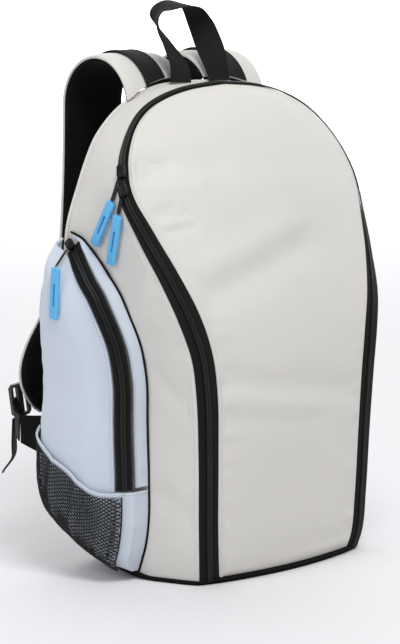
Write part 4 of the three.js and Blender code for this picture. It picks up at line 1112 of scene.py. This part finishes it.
def build_pockets():
    for side, label in SIDES:
        seed = 20 if side < 0 else 40
        relief = pocket_relief(seed)
        us, vs = np.linspace(0, 1, 130), 1 - np.linspace(0, 1, 90) ** 1.15
        outer, out = grid_of(panel_point, relief, us, vs, turned=-1)
        inner = panel_point(us[:, None], vs[None]) - out * POCKET_WALL
        walls = side_wall(outer, inner, side)
        make_object(f"{label}_pocket_side", walls, "blue", [f"{label}_pocket_panel"])

        rise = np.linspace(ZIP_FOOT_SHARE + 0.01, 0.995, 160)
        knots = [(0, share) for share in np.linspace(WALL_SHARE - WALL_TRIM / POCKET_DEPTH, 0, 18)]
        grid = pocket_strip(rise, knots)
        out = normals(grid)
        outer = grid + out * wall_relief(grid, seed + 5)[..., None]
        walls = side_wall(outer, grid - out * POCKET_WALL, side)
        make_object(f"{label}_pocket_front", walls, "blue", [f"{label}_pocket_wall"])
        row = outer[:, 1] + out[:, 1] * STITCH_LIFT
        add_stitches(f"{label}_front_stitches", row, out[:, 1], "blue_thread", side)

        rise = np.linspace(POCKET_FOOT + 0.012, ZIP_FOOT_SHARE - 0.003, 70)
        knots = [(POCKET_BEND * t, lerp(WALL_SHARE, BEND_SHARE, t)) for t in np.linspace(1, 0, 10)]
        knots += [(0, share) for share in np.linspace(WALL_SHARE, 0, 14)[1:]]
        grid = pocket_strip(rise, knots)
        out = normals(grid)
        outer = grid + out * wall_relief(grid, seed + 7)[..., None]
        walls = side_wall(outer, grid - out * POCKET_WALL, side)
        make_object(f"{label}_pocket_foot", walls, "blue", [f"{label}_pocket_patch"])
        row = outer[-3] + out[-3] * STITCH_LIFT
        add_stitches(f"{label}_foot_stitches", row, out[-3], "blue_thread", side)

        rise = np.linspace(ZIP_FOOT_SHARE + 0.003, ZIP_TIP_SHARE, 170)
        frames = on_side(pocket_zip_frames(rise), side)
        tape = band(frames, tape_profile(POCKET_BAND - 1, POCKET_LINES))
        make_object(f"{label}_pocket_zip_band", tape, "tape", [f"{label}_pocket_zip_tape"])
        nodes = [f"{label}_pocket_zip_coil"]
        make_object(f"{label}_pocket_zip_teeth", coil_mesh(frames), "coil", nodes, sharp=60)

        rise = np.linspace(POCKET_FOOT, 0.999, 220)
        y, z = seam_inset(rise, -0.7)
        line = mirrored(on_pocket(y, z, 0.6), side)
        make_object(f"{label}_pocket_piping", piping(line, POCKET_PIPING), "black")

        us = np.linspace(0.04, 0.96, 400)
        line, outs = lifted(panel_point, relief, us, 0.03, turned=-1)
        add_stitches(f"{label}_side_stitches", line, outs, "blue_thread", side)


build_pockets()


# Net pockets
NET_PITCH = 3.6
NET_CORD = 0.55
NET_WIDTH, NET_HEIGHT, NET_EDGE = 84, 92, 0.012
NET_SLANT, NET_TOP_SHARE, NET_BOB = 1.25, 0.985, 0.15
NET_GATHERS = (0.9, 0.74, 0.5, 0.22)


def net_surface(across, up, seed):
    """The net off the pocket: it stands open at its top and is gathered in folds."""
    step = 2e-3
    p = net_point(across, up)
    d_up = net_point(across, np.minimum(up + step, 1)) - net_point(across, np.maximum(up - step, 0))
    d_over = net_point(np.minimum(across + step, 1), up) - net_point(np.maximum(across - step, 0), up)
    out = unit(np.cross(d_over, d_up))
    lift = NET_STAND + NET_OPEN * up * np.sin(np.pi * across) + 0.5
    gather = 0
    for k, at in enumerate(NET_GATHERS):
        bend = at + 0.07 * np.sin(2.5 * up + k + seed) * up
        gather = gather + 1.5 * hump(across - bend, 0.035) * smoothstep(up, 0.04, 0.3)
    flat = p * np.array([0, 1, 1])
    gather = gather + 0.5 * noise(flat, (50, 9, 30), 60 + seed)
    return p + out * (lift + gather * np.sin(np.pi * np.clip(across, 0, 1)) ** 0.5)[..., None], out


def net_strand(start, slope, seed, steps=70):
    """A cord of the net that climbs across it, as far as it stays on it."""
    t = np.linspace(0, 1, steps)
    u = start + slope * t * NET_HEIGHT / NET_WIDTH
    inside = (u > NET_EDGE) & (u < 1 - NET_EDGE)
    if inside.sum() < 3:
        return None
    t, u = t[inside], u[inside]
    bob = NET_BOB * np.sin(t * NET_HEIGHT / NET_PITCH * 2 * np.pi)
    p, out = net_surface(u, t * NET_TOP_SHARE, seed)
    return p + out * bob[:, None]


def build_nets():
    for side, label in SIDES:
        seed = 0 if side < 0 else 3
        parts = []
        for slope in (-1, 1):
            for start in np.arange(-NET_SLANT, 1 + NET_SLANT, NET_PITCH * NET_SLANT / NET_WIDTH):
                line = net_strand(start, slope, seed)
                if line is not None and len(line) > 3:
                    parts.append(band(round_frames(mirrored(line, side)), ring(NET_CORD, 4)))
        net = joined(parts)
        make_object(f"{label}_net", net, "net", [f"{label}_mesh_pocket"], sharp=180)
        across = np.linspace(0.995, 0.015, 150)
        top, out = net_surface(across, np.ones(150), seed)
        lower, _ = net_surface(across, np.full(150, 0.97), seed)
        run = unit(np.gradient(top, axis=0))
        up = square_to(top - lower, run)
        centre = top + up * (BINDING_WIDTH / 2 - 0.8)
        frames = on_side((centre, up, np.cross(up, run)), side)
        section = ring(1, 20) * np.array([BINDING_WIDTH, BINDING_THICKNESS]) / 2
        make_object(f"{label}_net_binding", band(frames, section), "blue", [f"{label}_mesh_binding"])
        for level, name, look in ((-0.9, "lower", "dark_thread"), (0.9, "upper", "blue_thread")):
            line = centre + up * level + out * BINDING_THICKNESS * 0.42
            name = f"{label}_net_{name}_stitches"
            add_stitches(name, line, out, look, side, slot="net", pitch=2.6, length=1.9)
        edges = []
        for at in (NET_EDGE, 1 - NET_EDGE):
            line, _ = net_surface(np.full(60, at), np.linspace(0, 1, 60), seed)
            edges.append(piping(mirrored(line, side), 0.8, 6))
        line, _ = net_surface(np.linspace(NET_EDGE, 1 - NET_EDGE, 120), np.zeros(120), seed)
        edges.append(piping(mirrored(line, side), 0.9, 6))
        make_object(f"{label}_net_edges", joined(edges), "net")


build_nets()


# Handle and straps
def build_handle():
    frames = handle_frames(np.linspace(0, 1, 170))
    profile = webbing_profile(WEBBING_WIDTH, WEBBING_THICKNESS)
    make_object("handle_webbing", band(frames, profile), "webbing", ["handle"], sharp=60)


PAD_LOW = -STRAP_THICKNESS / 2
PAD_HIGH = STRAP_THICKNESS / 2 - COVER_THICKNESS - SEAM_GAP
COVER_LOW = PAD_HIGH + SEAM_GAP
WEB_LOW = COVER_LOW + COVER_THICKNESS + SEAM_GAP
TAPER_FROM, TAPER_LENGTH = 1.93, 0.0705
WEB_END, WEB_SEWN = 1.83, 2


def strap_taper(t):
    """The end of the strap rounds off over its last part."""
    return np.sqrt(np.clip(1 - np.clip((t - TAPER_FROM) / TAPER_LENGTH, 0, 1) ** 2, 0.02, 1))


def strap_waves(p, seed):
    return 0.5 * noise(p, (40, 16, 16), seed) + 0.25 * noise(p, (20, 7, 7), seed + 1)


def build_straps():
    t = two_spans(1, 2, 70, 110)
    for side, label in SIDES:
        seed = 70 if side < 0 else 80
        across = np.linspace(-1, 1, 40)
        half = STRAP_WIDTH / 2 * strap_taper(t)[:, None]
        rim = np.sqrt(np.clip(1 - np.abs(across) ** 7, 0, 1))[None]
        low = strap_point(t[:, None], across * half, PAD_LOW * (0.35 + 0.65 * rim))
        high = strap_point(t[:, None], across * half, PAD_HIGH * (0.3 + 0.7 * rim))
        ripple = strap_waves(low, seed) * np.clip(rim, 0, 1)
        low = low + unit(low - high) * ripple[..., None]
        pad = side_wall(high, low, side)
        obj = make_object(f"{label}_strap_pad", pad, "air_mesh", [f"{label}_strap_padding"])

        drop = (1 - rim) * PAD_HIGH * 1.1
        wave = 0.35 * noise(high, (40, 30, 30), seed + 3) * rim
        top = strap_point(t[:, None], across * half, COVER_LOW + COVER_THICKNESS - drop + wave)
        under = strap_point(t[:, None], across * half, COVER_LOW - drop)
        cover = side_wall(top, under, side)
        make_object(f"{label}_strap_cloth", cover, "beige", [f"{label}_strap_cover"])
        for sign in (-1, 1):
            line = strap_point(t, sign * (half[:, 0] - 0.2), COVER_LOW - PAD_HIGH * 1.1 + 1.2)
            name = f"{label}_strap_{'outer' if sign > 0 else 'inner'}_piping"
            make_object(name, piping(mirrored(line, side), STRAP_PIPING), "beige")

        t_web = two_spans(1, WEB_END, 60, 70)
        profile = webbing_profile(WEBBING_WIDTH, WEBBING_THICKNESS)
        level = WEB_LOW + WEBBING_THICKNESS / 2 + profile[None, :, 1] + 0.2
        loops = strap_point(t_web[:, None], profile[None, :, 0], level)
        strip = tube(mirrored(loops, side))
        make_object(f"{label}_strap_band", strip, "webbing", [f"{label}_strap_webbing"], sharp=60)
        for sign, name in ((-1, "inner"), (1, "outer")):
            t_sew = np.linspace(0.01, WEB_END, 400)
            offset = sign * (WEBBING_WIDTH / 2 - WEB_SEWN)
            line = strap_point(t_sew, offset, WEB_LOW + WEBBING_THICKNESS + 0.25)
            outs = unit(line - strap_point(t_sew, offset, WEB_LOW))
            add_stitches(f"{label}_strap_{name}_stitches", line, outs, "dark_thread", side)


build_handle()
build_straps()


# Strap ends
STRAP_TIP = (
    STRAP_SPACING / 2 + STRAP_SPLAY, ARCH_START + 2 * ARCH_RADIUS - STRAP_NEAR, ARCH_LEVEL - STRAP_DROP,
)
WING_ROOT = (BACK_WIDTH / 2, BODY_DEPTH, WING_LEVEL)


def from_tip(*offset):
    return tuple(np.add(STRAP_TIP, offset))


def from_wing(*offset):
    return tuple(np.add(WING_ROOT, offset))


# The wing's lower and upper edge, from the bag's side to its tip, as offsets from its root.
WING_LOW = ((0, 0.5, 2.5, -20), (0.5, 7.5, 18, -14), (1, 14.5, 33.5, -7))
WING_HIGH = ((0, 0.5, 2.5, 21), (0.5, 7.5, 18, 19), (1, 14.5, 33.5, 18))
STRAP_END = (0.15, 0, 0.98)
TAIL_WIDTH = (0.73, -0.68, 0)
END_WEBBINGS = {
    "buckle_webbing": (
        (from_tip(-6, 7.6, 23), from_tip(5, 9.2, 19), from_tip(15, 10.8, 15)),
        (STRAP_END, STRAP_END, STRAP_END),
    ),
    "strap_tail": (
        (from_tip(23, 15, -5.1), from_tip(25, 14, -25), from_tip(26, 14, -40), from_tip(37, 15, -53)),
        (TAIL_WIDTH, TAIL_WIDTH, TAIL_WIDTH, TAIL_WIDTH),
    ),
    "adjust_webbing": (
        (from_tip(20, 9.3, 6), from_tip(28, 7, 0), from_wing(10, 47, 8), from_wing(15.6, 35.2, 6)),
        (STRAP_END, STRAP_END, (0.1, 0, 1), (0, 0, 1)),
    ),
}


def build_strap_ends():
    profile = webbing_profile(WEBBING_WIDTH, WEBBING_THICKNESS)
    for side, label in SIDES:
        for name, (knots, widths) in END_WEBBINGS.items():
            frames = on_side(line_frames(knots, widths), side)
            strip = band(frames, profile)
            make_object(f"{label}_{name}_band", strip, "webbing", [f"{label}_{name}"], sharp=60)
        rows = np.linspace(0, 1, 24)
        columns = np.linspace(0, 1, 20)
        edges = []
        for knots in (WING_LOW, WING_HIGH):
            row = smooth("txyz", knots, "t")(rows)
            edges.append(points(row["x"], row["y"], row["z"]) + np.array(WING_ROOT))
        grid = edges[0][:, None] + (edges[1] - edges[0])[:, None] * columns[None, :, None]
        out = normals(grid)
        out = out * np.sign(out[..., :1])
        bulge = WING_BULGE * np.sin(np.pi * columns)[None] * np.sin(np.pi * rows)[:, None]
        walls = side_wall(grid + out * (WING_THICKNESS + bulge[..., None]), grid, side)
        make_object(f"{label}_wing_cloth", walls, "black", [f"{label}_wing"])


def rounded_copy(node, name, look, width, segments=3):
    """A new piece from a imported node's own shape, with its edges rounded."""
    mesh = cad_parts[node].data.copy()
    mesh.name = name
    work = bmesh.new()
    work.from_mesh(mesh)
    bmesh.ops.remove_doubles(work, verts=work.verts, dist=1e-6)
    bmesh.ops.dissolve_limit(work, angle_limit=math.radians(3), verts=work.verts, edges=work.edges)
    sharp = [e for e in work.edges if len(e.link_faces) == 2 and e.calc_face_angle(0) > math.radians(25)]
    bmesh.ops.bevel(
        work, geom=sharp, offset=width, segments=segments, affect="EDGES", profile=0.5, clamp_overlap=True
    )
    bmesh.ops.triangulate(work, faces=[f for f in work.faces if len(f.verts) > 4])
    work.to_mesh(mesh)
    work.free()
    mesh.shade_smooth()
    mesh.set_sharp_from_angle(angle=math.radians(50))
    return add_piece(name, mesh, look, [node])


# The radius of each part's edges, in metres.
BUCKLE_ROUND, SLIDER_ROUND, TAB_ROUND, PULL_ROUND = 0.0009, 0.001, 0.0004, 0.0008


def build_slider(name):
    rounded_copy(f"{name}_slider", f"{name}_slider_body", "metal", SLIDER_ROUND)
    rounded_copy(f"{name}_tab", f"{name}_slider_tab", "cord", TAB_ROUND)
    rounded_copy(f"{name}_pull", f"{name}_rubber_pull", "rubber", PULL_ROUND)


def build_hardware():
    for side, label in SIDES:
        rounded_copy(f"{label}_buckle", f"{label}_buckle_frame", "plastic", BUCKLE_ROUND)
        build_slider(f"{label}_pocket")
    for name in ("upper", "lower"):
        build_slider(name)


build_strap_ends()
build_hardware()


# Floor, light and camera, in metres
FLOOR_REACH = 6
BACKDROP_LEFT, BACKDROP_RIGHT, BACKDROP_HEIGHT = (-1.6, 6.4), (6.4, -1.6), 4
BACKDROP_GLOW, SKY = 1.6, 0.5
CAMERA_PLACE, CAMERA_AIM = (-1.5004, -1.5934, 0.553), (0, 0.0156, 0.2131)
CAMERA_LENS, CAMERA_SENSOR = 133.8, 36


def aim_at(obj, place, aim):
    obj.location = place
    obj.rotation_euler = (Vector(aim) - Vector(place)).to_track_quat("-Z", "Y").to_euler()


def add_sheet(name, corners, look):
    mesh = bpy.data.meshes.new(name)
    mesh.from_pydata(corners, [], [(0, 1, 2, 3)])
    mesh.materials.append(look.done())
    return add_to_scene(name, mesh)


def add_floor():
    r = FLOOR_REACH
    look = Look("floor", "E6E5E8", 0.9).tint(0.004, 3)
    floor = add_sheet("floor", [(-r, -r, 0), (r, -r, 0), (r, r, 0), (-r, r, 0)], look)


def add_backdrop():
    """A lit white wall behind the bag, whose light also throws the soft shadow in front of it."""
    glow = Look("backdrop", "FFFFFF", 0.9).tint(0.002, 1)
    socket(glow.shader, "Emission Color", (1, 1, 1, 1))
    socket(glow.shader, "Emission Strength", BACKDROP_GLOW)
    left, right, top = BACKDROP_LEFT, BACKDROP_RIGHT, BACKDROP_HEIGHT
    backdrop = add_sheet("backdrop", [(*left, 0), (*right, 0), (*right, top), (*left, top)], glow)


def add_light(name, place, aim, size, energy, colour=(1, 1, 1)):
    light = bpy.data.lights.new(name, "AREA")
    light.shape, light.size, light.energy, light.color = "SQUARE", size, energy, colour
    aim_at(add_to_scene(name, light), place, aim)


def add_studio():
    world = bpy.data.worlds.new("studio")
    bpy.context.scene.world = world
    world.use_nodes = True
    sky = world.node_tree.nodes["Background"]
    socket(sky, "Color", (1, 1, 1, 1))
    socket(sky, "Strength", SKY)
    add_light("key", (-0.45, -0.95, 1.75), (0, 0, 0.35), 0.8, 18)
    add_light("left_fill", (-2.2, -0.1, 1.3), (0, 0, 0.3), 1.2, 9, (0.93, 0.96, 1.0))


def add_camera():
    camera = bpy.data.cameras.new("camera")
    camera.lens, camera.sensor_width, camera.sensor_fit = CAMERA_LENS, CAMERA_SENSOR, "AUTO"
    obj = add_to_scene("camera", camera)
    aim_at(obj, CAMERA_PLACE, CAMERA_AIM)
    bpy.context.scene.camera = obj


add_floor()
add_backdrop()
add_studio()
add_camera()
bpy.context.scene.view_settings.view_transform = "Standard"
